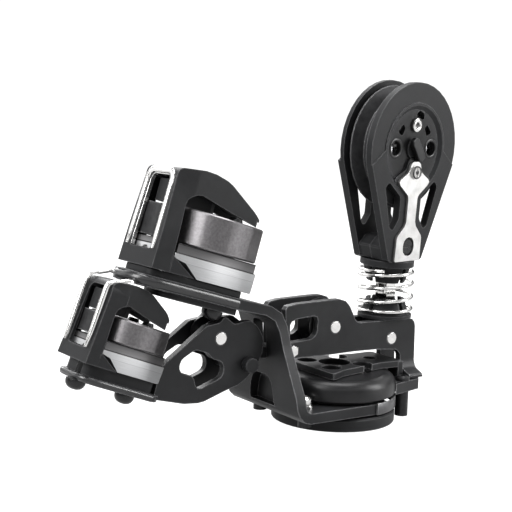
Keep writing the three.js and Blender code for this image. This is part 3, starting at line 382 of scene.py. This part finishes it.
# Materials of single pieces, ahead of their slot's
OWN = {
    "upper_cleat_base": two_tone("base_two_tone_upper", UPPER, split=8.5, top=UPPER_BASE_TOP),
    "lower_cleat_base": two_tone("base_two_tone_lower", LOWER, split=7.2, top=LOWER_BASE_TOP),
    "arm_bolt_1": bolt_tone("bolt_steel_a", level=0.0075),
    "arm_bolt_2": bolt_tone("bolt_steel_b", level=0.0075),
    "arm_bolt_3": bolt_tone("bolt_steel_c", level=0.0505),
    "arm_bolt_4": bolt_tone("bolt_steel_d", level=0.0505),
    "cover_disc": DISC_GLOSS,
}
OWN["cheek_near"] = OWN["cheek_far"] = hub_shade(MATS["black_moulding"], BLOCK, HUB_Z)
for side in ("near", "far"):
    OWN["upper_cam_" + side] = drum(MATS["cam_metal"], UPPER, middle=0.0, radius=24.0)
    OWN["lower_cam_" + side] = drum(MATS["cam_metal"], LOWER, middle=1.0, radius=18.0)
OWN["upper_cleat_base"] = drum(OWN["upper_cleat_base"], UPPER, middle=-6.0, radius=34.0)
OWN["lower_cleat_base"] = drum(OWN["lower_cleat_base"], LOWER, middle=-4.0, radius=26.0)


# ---------------------------------------------------------------- dressing the CAD pieces
def dress(obj, material):
    obj.data.materials.clear()
    obj.data.materials.append(material)


def soften(obj, width, segments=2):
    """Rounds the hard edges with modifiers and shades the rest smoothly."""
    obj.data.polygons.foreach_set("use_smooth", [True] * len(obj.data.polygons))
    weld = obj.modifiers.new("weld", "WELD")
    weld.merge_threshold = 2e-6
    planar = obj.modifiers.new("planar", "DECIMATE")
    planar.decimate_type = "DISSOLVE"
    planar.angle_limit = radians(0.6)
    bevel = obj.modifiers.new("round", "BEVEL")
    bevel.width = width * MM
    bevel.segments = segments
    bevel.limit_method = "ANGLE"
    bevel.angle_limit = radians(32)
    bevel.miter_outer = "MITER_ARC"
    bevel.use_clamp_overlap = True
    bevel.harden_normals = False
    normals = obj.modifiers.new("normals", "WEIGHTED_NORMAL")
    normals.mode = "FACE_AREA"
    normals.keep_sharp = False
    normals.weight = 60


for name, obj in NODES.items():
    dress(obj, OWN.get(name, MATS[SLOTS[name]]))
    rounding = ROUNDING.get(name, DEFAULT_ROUNDING)
    if rounding:
        soften(obj, rounding)


# ---------------------------------------------------------------- mesh helpers
def new_object(name, data):
    obj = bpy.data.objects.new(name, data)
    bpy.context.scene.collection.objects.link(obj)
    return obj


def mesh_object(name, bm, material, smooth=True):
    mesh = bpy.data.meshes.new(name)
    bmesh.ops.recalc_face_normals(bm, faces=bm.faces[:])
    bm.to_mesh(mesh)
    bm.free()
    obj = new_object(name, mesh)
    mesh.polygons.foreach_set("use_smooth", [smooth] * len(mesh.polygons))
    if smooth:
        mesh.set_sharp_from_angle(angle=radians(48))
    mesh.materials.append(material)
    return obj


def loft(name, rings, material, place=Matrix()):
    """Skin over rings of points (metres), capped at both ends."""
    bm = bmesh.new()
    rings = [[bm.verts.new(point) for point in ring] for ring in rings]
    count = len(rings[0])
    for a, b in zip(rings, rings[1:]):
        for k in range(count):
            after = (k + 1) % count
            bm.faces.new((a[k], a[after], b[after], b[k]))
    bm.faces.new(rings[0][::-1])
    bm.faces.new(rings[-1])
    bm.transform(place)
    return mesh_object(name, bm, material)


def tube(name, points, radius, material, sides):
    """Round tube along points (metres); each ring is carried on from the last without twist."""
    last = len(points) - 1
    tangents = [(points[min(i + 1, last)] - points[max(i - 1, 0)]).normalized()
                for i in range(len(points))]
    start = Vector((0, 0, 1)) if abs(tangents[0].z) < 0.9 else Vector((1, 0, 0))
    across = tangents[0].cross(start).normalized()
    rings = []
    for i, (point, tangent) in enumerate(zip(points, tangents)):
        if i:
            turn = tangents[i - 1].rotation_difference(tangent)
            across = (turn @ across).normalized()
        up = tangent.cross(across).normalized()
        angles = [2 * pi * k / sides for k in range(sides)]
        rings.append([point + (across * cos(a) + up * sin(a)) * radius for a in angles])
    return loft(name, rings, material)


def lathe(profile, to_point, count):
    """Turns a profile of (radius, along); to_point takes (u, v, along) to a point in metres."""
    bm = bmesh.new()
    rings = []
    for radius, along in profile:
        angles = [2 * pi * k / count for k in range(1 if radius < 1e-9 else count)]
        rings.append([bm.verts.new(to_point(radius * cos(a), radius * sin(a), along))
                      for a in angles])
    if len(rings[0]) > 1:  # a profile that starts off the axis closes on itself
        rings.append(rings[0])
    for a, b in zip(rings, rings[1:]):
        for k in range(count):
            after = (k + 1) % count
            if len(a) == 1:
                bm.faces.new((a[0], b[k], b[after]))
            elif len(b) == 1:
                bm.faces.new((a[k], b[0], a[after]))
            else:
                bm.faces.new((a[k], b[k], b[after], a[after]))
    return bm


def prism_mesh(outline, z0, z1, place):
    """Prism over an outline of (x, y)."""
    bm = bmesh.new()
    low = [bm.verts.new((x * MM, y * MM, z0 * MM)) for x, y in outline]
    high = [bm.verts.new((x * MM, y * MM, z1 * MM)) for x, y in outline]
    bm.faces.new(low[::-1])
    bm.faces.new(high)
    for i in range(len(outline)):
        after = (i + 1) % len(outline)
        bm.faces.new((low[i], low[after], high[after], high[i]))
    bm.transform(place)
    return bm


def rotor_prism(name, outline, z0, z1, material, place, rounding):
    obj = mesh_object(name, prism_mesh(outline, z0, z1, place), material)
    soften(obj, rounding, 3)
    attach(obj, "rotor")


def ribbon(name, points, normals, width, thick, place, sink=0.12):
    """Flat bar with rounded edges along points; its back lies sink below them."""
    corner_steps = 4
    points = [Vector(p) for p in points]
    normals = [Vector(v).normalized() for v in normals]
    last = len(points) - 1
    rings = []
    for i, point in enumerate(points):
        tangent = (points[min(i + 1, last)] - points[max(i - 1, 0)]).normalized()
        out = (normals[i] - tangent * normals[i].dot(tangent)).normalized()
        across = tangent.cross(out).normalized()
        taper = 1.0 - 0.45 * max(0.0, 1.0 - min(i, last - i) / 2.0)  # narrower at both ends
        half = width * 0.5 * taper
        corner = min(thick * 0.95, half * 0.9)
        section = [(-half, -sink)]
        for centre, start in ((-half + corner, pi), (half - corner, 0.5 * pi)):
            for k in range(corner_steps + 1):
                a = start - 0.5 * pi * k / corner_steps
                section.append((centre + corner * cos(a), thick - corner + corner * sin(a)))
        section.append((half, -sink))
        rings.append([(point + across * a + out * b) * MM for a, b in section])
    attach(loft(name, rings, STRIP, place), "rotor")


def span(piece, place, axis, below=inf):
    """Least and greatest coordinate of a CAD piece in a frame, counting points under a level."""
    inverse = place.inverted()
    points = [inverse @ v.co for v in NODES[piece].data.vertices]
    values = [p[axis] * 1000 for p in points if p.z * 1000 < below]
    return min(values), max(values)


# ---------------------------------------------------------------- fairlead openings
def carve_fairlead(opening):
    """The CAD fairlead with a pocket taken out behind its front lip, shown in its place."""
    piece = opening["level"] + "_fairlead"
    solid = new_object("tmp_solid", NODES[piece].data.copy())
    weld = solid.modifiers.new("weld", "WELD")
    weld.merge_threshold = 2e-6
    x0, x1, half = opening["x_lip"], opening["x_back"], opening["pocket_half"]
    box = prism_mesh([(x0, -half), (x1, -half), (x1, half), (x0, half)],
                     opening["z_floor"], opening["z_ceiling"], opening["place"])
    cutter = mesh_object("tmp_cutter", box, MATS["black_moulding"], smooth=False)
    pocket = solid.modifiers.new("pocket", "BOOLEAN")
    pocket.operation = "DIFFERENCE"
    pocket.solver = "EXACT"
    pocket.object = cutter
    bpy.context.view_layer.update()
    depsgraph = bpy.context.evaluated_depsgraph_get()
    mesh = bpy.data.meshes.new_from_object(solid.evaluated_get(depsgraph))
    mesh.name = piece + "_shell"
    bpy.data.objects.remove(solid)
    bpy.data.objects.remove(cutter)
    shell = new_object(piece + "_shell", mesh)
    dress(shell, MATS[SLOTS[piece]])
    soften(shell, ROUNDING[piece])
    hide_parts(piece)
    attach(shell, "rotor")


def base_front(opening):
    """Fills the base from its front end out to the lip."""
    level, place, top = opening["level"], opening["place"], opening["base_top"]
    half = opening["pocket_half"] - POCKET_GAP
    x_lip = opening["x_lip"]
    x_back = span(level + "_cleat_base", place, 0)[0] - 0.1
    tone = two_tone(level + "_base_front_tone", place, opening["tone_split"], top)
    outline = [
        (x_back, -half), (x_back, half), (x_lip + 1.0, half),
        (x_lip + 0.3, half - 0.8), (x_lip + 0.3, 0.8 - half), (x_lip + 1.0, -half),
    ]
    rotor_prism(level + "_base_front", outline, opening["z_floor"] + 0.03, top - 0.05,
                tone, place, 0.25)


def cam_noses(opening):
    """A rounded nose ahead of each cam, where there is room for one."""
    level, place = opening["level"], opening["place"]
    half = opening["pocket_half"] - POCKET_GAP
    x_front = opening["x_lip"] + 0.5
    x_cam = span(level + "_cam_far", place, 0)[0] - 0.5
    if x_cam - x_front <= 1.5:
        return
    outline = [(x_cam, 1.6)]
    for i in range(9):
        a = 0.5 * pi * i / 8
        outline.append((x_front + (half * 0.62) * (1 - sin(a)) * 0.8,
                        half - 0.3 - (half - 2.2) * cos(a)))
    outline.append((x_cam, half - 0.3))
    for side, sign in (("near", -1), ("far", 1)):
        rotor_prism(level + "_cam_nose_" + side, [(x, sign * y) for x, y in outline],
                    opening["base_top"] + 0.55, opening["cam_top"] - 0.6,
                    drum(MATS["sheave_metal"], place, x_cam, radius=12.0), place, 0.6)


def hood_rib(opening):
    """The rib under the hood, tapering to the back."""
    x0, x1 = opening["rib_x"]
    outline = [(x0, -6.0), (x0, 6.0), (x1 - 3.5, 5.2), (x1, 2.4), (x1, -2.4), (x1 - 3.5, -5.2)]
    rotor_prism(opening["level"] + "_hood_rib", outline, *opening["rib_z"],
                MATS["black_moulding"], opening["place"], 0.3)


for opening in OPENINGS:
    carve_fairlead(opening)
for opening in OPENINGS:
    base_front(opening)
    cam_noses(opening)
    hood_rib(opening)


# ---------------------------------------------------------------- wear strips on the fairleads
def upper_strip(name, half, narrowing, corner, width, thick, setback, z_top):
    """Inverted U on the front face: up the far post, under the top edge, down the near post."""
    z_low = 7.5
    x_foot, slope = -35.98, 0.036  # the face: x = x_foot + slope * z
    post_steps, corner_steps = 10, 8

    def half_at(z):
        return half * (1 - narrowing * (z - z_low) / (z_top - z_low))

    z_corner = z_top - corner
    y_corner = half_at(z_top) - corner
    quarter = [0.5 * pi * i / corner_steps for i in range(1, corner_steps + 1)]
    rising = [z_low + (z_corner - z_low) * i / post_steps for i in range(post_steps + 1)]
    falling = [z_corner + (z_low - z_corner) * i / post_steps for i in range(post_steps + 1)]
    path = [(half_at(z), z) for z in rising]
    path += [(y_corner + corner * cos(a), z_corner + corner * sin(a)) for a in quarter]
    path += [(-y_corner - corner * sin(a), z_corner + corner * cos(a)) for a in quarter]
    path += [(-half_at(z), z) for z in falling]
    points = [(x_foot + slope * z + setback, y, z) for y, z in path]
    ribbon(name, points, [(-1.0, 0.0, slope)] * len(points), width, thick, UPPER)


def lower_strip():
    """Up each post's front, bent back over the top and joined by a loop just off the hood."""
    post_half = 9.95
    top_half = post_half - 0.2
    x_face, z_low = -22.3, 5.8
    z_bend, bend = 31.6, 4.4  # start and radius of the bend
    x_loop_end, z_loop = -5.6, 38.3
    loop_length = 7.4
    tilt = 0.10  # rise towards the far side, above the bend
    x_top, z_top = x_face + bend, z_bend + bend
    x_loop = x_loop_end - loop_length
    top_normal = (-0.12, 0, 1)

    far = []  # (point, normal) from the foot of the far post to the middle of the loop
    for i in range(8):
        far.append(((x_face, post_half, z_low + (z_bend - z_low) * i / 8), (-1, 0, 0)))
    for i in range(7):
        a = 0.5 * pi * i / 6
        point = (x_top - bend * cos(a), post_half - 0.2 * i / 6, z_bend + bend * sin(a))
        far.append((point, (-cos(a), 0, sin(a))))
    for i in range(1, 6):
        x = x_top + (x_loop - x_top) * i / 5
        rise = (z_loop - z_top) * min(1.0, (x - x_top) / (x_loop - x_top))
        far.append(((x, top_half, z_top + rise), top_normal))
    for i in range(1, 11):
        a = 0.5 * pi * i / 10
        point = (x_loop + loop_length * sin(a), top_half * cos(a), z_loop)
        far.append((point, top_normal))

    near = [((x, -y, z), normal) for (x, y, z), normal in far[-2::-1]]
    points = [(x, y, z + (tilt * y if z > z_bend + 0.7 * bend else 0.0))
              for (x, y, z), _ in far + near]
    normals = [normal for _, normal in far + near]
    ribbon("lower_wear_strip", points, normals, width=2.6, thick=1.2, place=LOWER, sink=0.35)


upper_strip("upper_wear_strip", half=11.35, narrowing=0.075, corner=4.2,
            width=3.0, thick=1.0, setback=0.0, z_top=42.1)
upper_strip("upper_wear_strip_return", half=8.95, narrowing=0.06, corner=3.0,
            width=0.6, thick=1.7, setback=1.9, z_top=40.35)
lower_strip()


# ---------------------------------------------------------------- domed nuts under the platforms
def dome_nut(name, bolt, place, radius, level):
    """Dome hanging from the level, over the lower end of a bolt."""
    x, y = [0.5 * sum(span(bolt, place, axis, level)) for axis in (0, 1)]
    radius += 0.12
    z_shoulder = level - 0.9
    depth = level - 0.3 - span(bolt, place, 2)[0] + 0.35 - 0.6
    profile = [(0.0, level - 0.2), (radius, level - 0.2), (radius, z_shoulder)]
    for i in range(1, 9):
        a = 0.5 * pi * i / 9
        profile.append((radius * cos(a) ** 0.8, z_shoulder - depth * sin(a)))
    profile.append((0.0, z_shoulder - depth))
    profile = [(r * MM, z * MM) for r, z in profile]
    bm = lathe(profile, lambda u, v, along: (u, v, along), 40)
    bm.transform(place @ Matrix.Translation(Vector((x * MM, y * MM, 0))))
    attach(mesh_object(name, bm, MATS["black_screws"]), "rotor")


dome_nut("upper_dome_nut", "upper_cleat_bolt_near", UPPER, radius=4.7, level=-11.6)
dome_nut("lower_dome_nut", "lower_cleat_bolt_near", LOWER, radius=4.3, level=-8.5)
dome_nut("lower_dome_nut_front", "lower_fairlead_screw", LOWER, radius=4.3, level=-8.5)


# ---------------------------------------------------------------- rounded rims on the platforms
def platform_rim(name, place, x_front, x_back, half, corner, z, radius, inset):
    """Tube round the front of a platform; its centre line runs inset from the edge."""
    half, x_front, corner = half - inset, x_front + inset, corner - inset
    x_corner = x_front + corner
    near = [(x_back + (x_corner - x_back) * i / 12, -half, z) for i in range(13)]
    for i in range(1, 10):
        a = 0.5 * pi * i / 9
        near.append((x_corner - corner * sin(a), -half + corner - corner * cos(a), z))
    far = [(x, -y, z) for x, y, z in near[::-1]]
    points = [place @ (Vector(p) * MM) for p in near + far]
    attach(tube(name, points, radius * MM, EDGE_GLOSS, 20), "rotor")


platform_rim("upper_platform_rim", UPPER, x_front=-41.6, x_back=12.6, half=15.0, corner=13.0,
             z=-6.3, radius=2.8, inset=2.3)
platform_rim("lower_platform_rim", LOWER, x_front=-21.4, x_back=14.2, half=13.9, corner=9.0,
             z=-7.1, radius=1.62, inset=1.25)


# ---------------------------------------------------------------- details on the block's near side
def switch_wing():
    """Bar across the switch, turned in the plane of the cheek."""
    front = span("ratchet_switch", BLOCK, 1)[0]
    turn = radians(-52)
    outline = [  # (along the bar, across it)
        (-6.4, -1.5), (-4.9, -2.5), (4.9, -2.5), (6.4, -1.5),
        (6.4, 1.5), (4.9, 2.5), (-4.9, 2.5), (-6.4, 1.5),
    ]
    turned = [(u * cos(turn) - v * sin(turn), HUB_Z + u * sin(turn) + v * cos(turn))
              for u, v in outline]
    bm = bmesh.new()
    far, near = [[bm.verts.new((x * MM, y * MM, z * MM)) for x, z in turned]
                 for y in (front + 1.6, front - 1.0)]
    bm.faces.new(far)
    bm.faces.new(near[::-1])
    for i in range(len(turned)):
        after = (i + 1) % len(turned)
        bm.faces.new((far[i], near[i], near[after], far[after]))
    bm.transform(BLOCK)
    wing = mesh_object("switch_wing", bm, MATS["bearing_plastic"])
    soften(wing, 0.45)
    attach(wing, "switch_body")


def block_turning(name, profile, x, z, material, count=48):
    """Profile of (radius, y) turned about the line along y through (x, z)."""
    bm = lathe(profile, lambda u, v, y: ((x + u) * MM, y * MM, (z + v) * MM), count)
    bm.transform(BLOCK)
    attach(mesh_object(name, bm, material), "block_body")


def screw_head(piece):
    """Middle (x, z), radius and nearest y of a screw in the block."""
    x0, x1 = span(piece, BLOCK, 0)
    z0, z1 = span(piece, BLOCK, 2)
    return 0.5 * (x0 + x1), 0.5 * (z0 + z1), 0.5 * (x1 - x0), span(piece, BLOCK, 1)[0]


def cheek_screw():
    x, z, radius, y = screw_head("cheek_screw")
    ring = [
        (1.35, y + 0.35), (1.35, y - 0.25), (1.75, y - 0.6),
        (radius * 0.86, y - 0.62), (radius + 0.1, y - 0.2), (radius + 0.15, y + 0.5),
    ]
    # The near-black hex disc on the head stands in for the deep socket: painted shade.
    socket = [
        (0.0, y - 0.06), (0.7, y - 0.1), (1.3, y - 0.3),
        (1.42, y - 0.1), (1.42, y + 0.3), (0.0, y + 0.3),
    ]
    block_turning("screw_ring", ring, x, z, MATS["polished_steel"])
    block_turning("screw_socket", socket, x, z, MATS["bearing_plastic"], 6)


def hub_cups():
    spread, z = 13.6, 61.8
    cup = [(3.45, -8.9), (3.45, -9.55), (3.8, -9.85), (4.7, -9.75), (5.1, -9.45), (5.15, -9.1)]
    for i, x in enumerate((-spread, spread)):
        block_turning(f"hub_cup_{i + 1}", cup, x, z, MATS["bearing_plastic"])


def strap_screw():
    x, z, radius, y = screw_head("strap_screw")
    ring = [
        (radius * 0.80, y - 0.02), (radius * 0.84, y - 0.25), (radius * 0.98, y - 0.28),
        (radius + 0.12, y - 0.05), (radius + 0.14, y + 0.4),
    ]
    socket = [(0.0, y - 0.10), (1.0, y - 0.14), (1.25, y - 0.06), (1.25, y + 0.2), (0.0, y + 0.2)]
    block_turning("strap_screw_ring", ring, x, z, BLACKENED)
    block_turning("strap_screw_socket", socket, x, z, BLACKENED, 6)


switch_wing()
cheek_screw()
hub_cups()
strap_screw()


# ---------------------------------------------------------------- light band round the arm's ring
def arm_ring_band():
    """Arc about the swivel axis, centred on +x."""
    inner, outer = 29.7, 30.75
    low, high = 7.1, 12.8
    chamfer = 0.35
    reach, steps = 84, 72  # degrees to each side of +x
    section = [  # (radius, z)
        (inner, low + chamfer), (outer - chamfer, low), (outer, low + chamfer),
        (outer, high - chamfer), (outer - chamfer, high), (inner, high - chamfer),
    ]
    rings = []
    for i in range(steps + 1):
        a = radians(-reach + 2 * reach * i / steps)
        rings.append([(r * cos(a) * MM, r * sin(a) * MM, z * MM) for r, z in section])
    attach(loft("arm_ring_band", rings, RING_SATIN), "rotor")


arm_ring_band()

# ---------------------------------------------------------------- coil spring, in two halves
SPRING_RISE = [  # (turns, z), closer coils at both ends
    (0, 50.95), (1, 52.95), (2.3, 62.0), (3.6, 70.6), (4.6, 72.6),
]
SPRING_TURNS = SPRING_RISE[-1][0]
SPRING_SPLIT = 2.735  # turns, at the shackle
SPRING_RADIUS = 13.3
WIRE_RADIUS = 0.88


def spring_z(turns):
    i = 0
    while i < len(SPRING_RISE) - 2 and turns > SPRING_RISE[i + 1][0]:
        i += 1
    (t0, z0), (t1, z1) = SPRING_RISE[i], SPRING_RISE[i + 1]
    return z0 + (z1 - z0) * (turns - t0) / (t1 - t0)


def spring_half(name, start, end):
    """Part of the coil; its height is averaged over nearby turns to smooth the pitch."""
    points = []
    steps = int((end - start) * 56)
    for i in range(steps + 1):
        t = start + (end - start) * i / steps
        nearby = [min(SPRING_TURNS, max(0.0, t + d)) for d in (-0.16, -0.08, 0, 0.08, 0.16)]
        z = sum(spring_z(turns) for turns in nearby) / 5
        a = 2 * pi * t
        points.append(STAND @ (Vector((SPRING_RADIUS * cos(a), SPRING_RADIUS * sin(a), z)) * MM))
    return tube(name, points, WIRE_RADIUS * MM, MATS["polished_steel"], 12)


low_half = spring_half("spring_lower_half", 0.0, SPRING_SPLIT)
high_half = spring_half("spring_upper_half", SPRING_SPLIT, SPRING_TURNS)
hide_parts("stand_spring")
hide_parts("stand_spring")
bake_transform(low_half)
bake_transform(high_half)


# ---------------------------------------------------------------- camera, floor and light, metres
def build_camera():
    data = bpy.data.cameras.new("camera")
    data.sensor_width = 36
    data.lens = 81.277734375
    data.clip_start = 0.01
    camera = new_object("camera", data)
    place = (-0.35065, -0.438, 0.14645)
    roll = radians(1.95)
    forward = Vector((0.5630, 0.8177, -0.1205)).normalized()
    level = forward.cross(Vector((0, 0, 1))).normalized()
    upright = level.cross(forward).normalized()
    right = level * cos(roll) + upright * sin(roll)
    up = -level * sin(roll) + upright * cos(roll)
    rows = [(right[i], up[i], -forward[i], place[i]) for i in range(3)]
    camera.matrix_world = Matrix((*rows, (0, 0, 0, 1)))
    bpy.context.scene.camera = camera


def build_floor():
    """Grey floor that glows, so that it looks white to the camera and in reflections."""
    camera_glow, reflected_glow = 0.975, 0.62
    material, graph, surface = new_material("floor_white")
    rays = graph.add("LightPath").outputs
    cloud = graph.noise(6.0, 3.0)
    graph.feed(surface, {
        "Base Color": graph.ramp(cloud, [(0.35, grey(0.20)), (0.65, grey(0.22))]),
        "Roughness": 0.9,
        "Specular IOR Level": 0.0,
        "Emission Color": (1, 1, 1, 1),
        "Emission Strength": graph.math(
            "ADD", graph.math("MULTIPLY", rays["Is Camera Ray"], camera_glow),
            graph.math("MULTIPLY", rays["Is Glossy Ray"], reflected_glow)),
    })
    bm = bmesh.new()
    bmesh.ops.create_grid(bm, x_segments=2, y_segments=2, size=6.0)
    floor = mesh_object("floor", bm, material)
    floor.location.z = -0.0006


def build_world():
    """Banded studio sky for reflections, even grey for diffuse light, white to the camera."""
    world = bpy.data.worlds.new("studio")
    bpy.context.scene.world = world
    world.use_nodes = True
    graph = Graph(world.node_tree)
    graph.tree.nodes.clear()
    rays = graph.add("LightPath").outputs
    direction = graph.add("TexCoord").outputs["Generated"]
    z = graph.add("SeparateXYZ", {0: direction}).outputs["Z"]
    height = graph.math("ADD", graph.math("MULTIPLY", z, 0.5), 0.5)  # 0 straight down, 1 up
    sky = graph.ramp(height, [
        (0.0, grey(0.6)), (0.47, grey(0.75)), (0.53, grey(0.55)), (0.58, grey(0.14)),
        (0.65, grey(0.10)), (0.69, grey(1.2)), (0.80, grey(1.1)), (0.87, (0.18, 0.18, 0.185)),
        (1.0, grey(0.45)),
    ])
    lit = graph.mix(rays["Is Diffuse Ray"], sky, grey(0.22))
    seen = graph.mix(rays["Is Camera Ray"], lit, grey(1.0))
    background = graph.add("Background", {0: seen, 1: 1.0})
    graph.add("OutputWorld", {0: background.outputs[0]})


def area_light(name, location, target, power, width, height):
    data = bpy.data.lights.new(name, "AREA")
    data.energy = power
    data.shape = "RECTANGLE"
    data.size = width
    data.size_y = height
    light = new_object(name, data)
    light.location = location
    aim = Vector(target) - Vector(location)
    light.rotation_euler = aim.to_track_quat("-Z", "Y").to_euler()


build_camera()
build_floor()
build_world()
area_light("key", (-0.85, -0.15, 0.70), (-0.05, 0, 0.06), power=9, width=0.40, height=0.8)
area_light("side", (0.70, -0.55, 0.40), (0.02, 0, 0.07), power=6, width=0.30, height=0.6)
area_light("top", (0.05, -0.05, 0.95), (0, 0, 0.05), power=7, width=0.6, height=0.6)
area_light("rim", (0.15, 0.9, 0.6), (0, 0, 0.08), power=8, width=0.8, height=0.8)
area_light("card", (-0.78, 0.86, 0.36), (-0.13, 0, 0.09), power=0.95, width=0.62, height=0.42)

view = bpy.context.scene.view_settings
view.view_transform = "Standard"
view.look = "None"
view.exposure = 0.12
view.gamma = 0.90

bpy.context.view_layer.update()
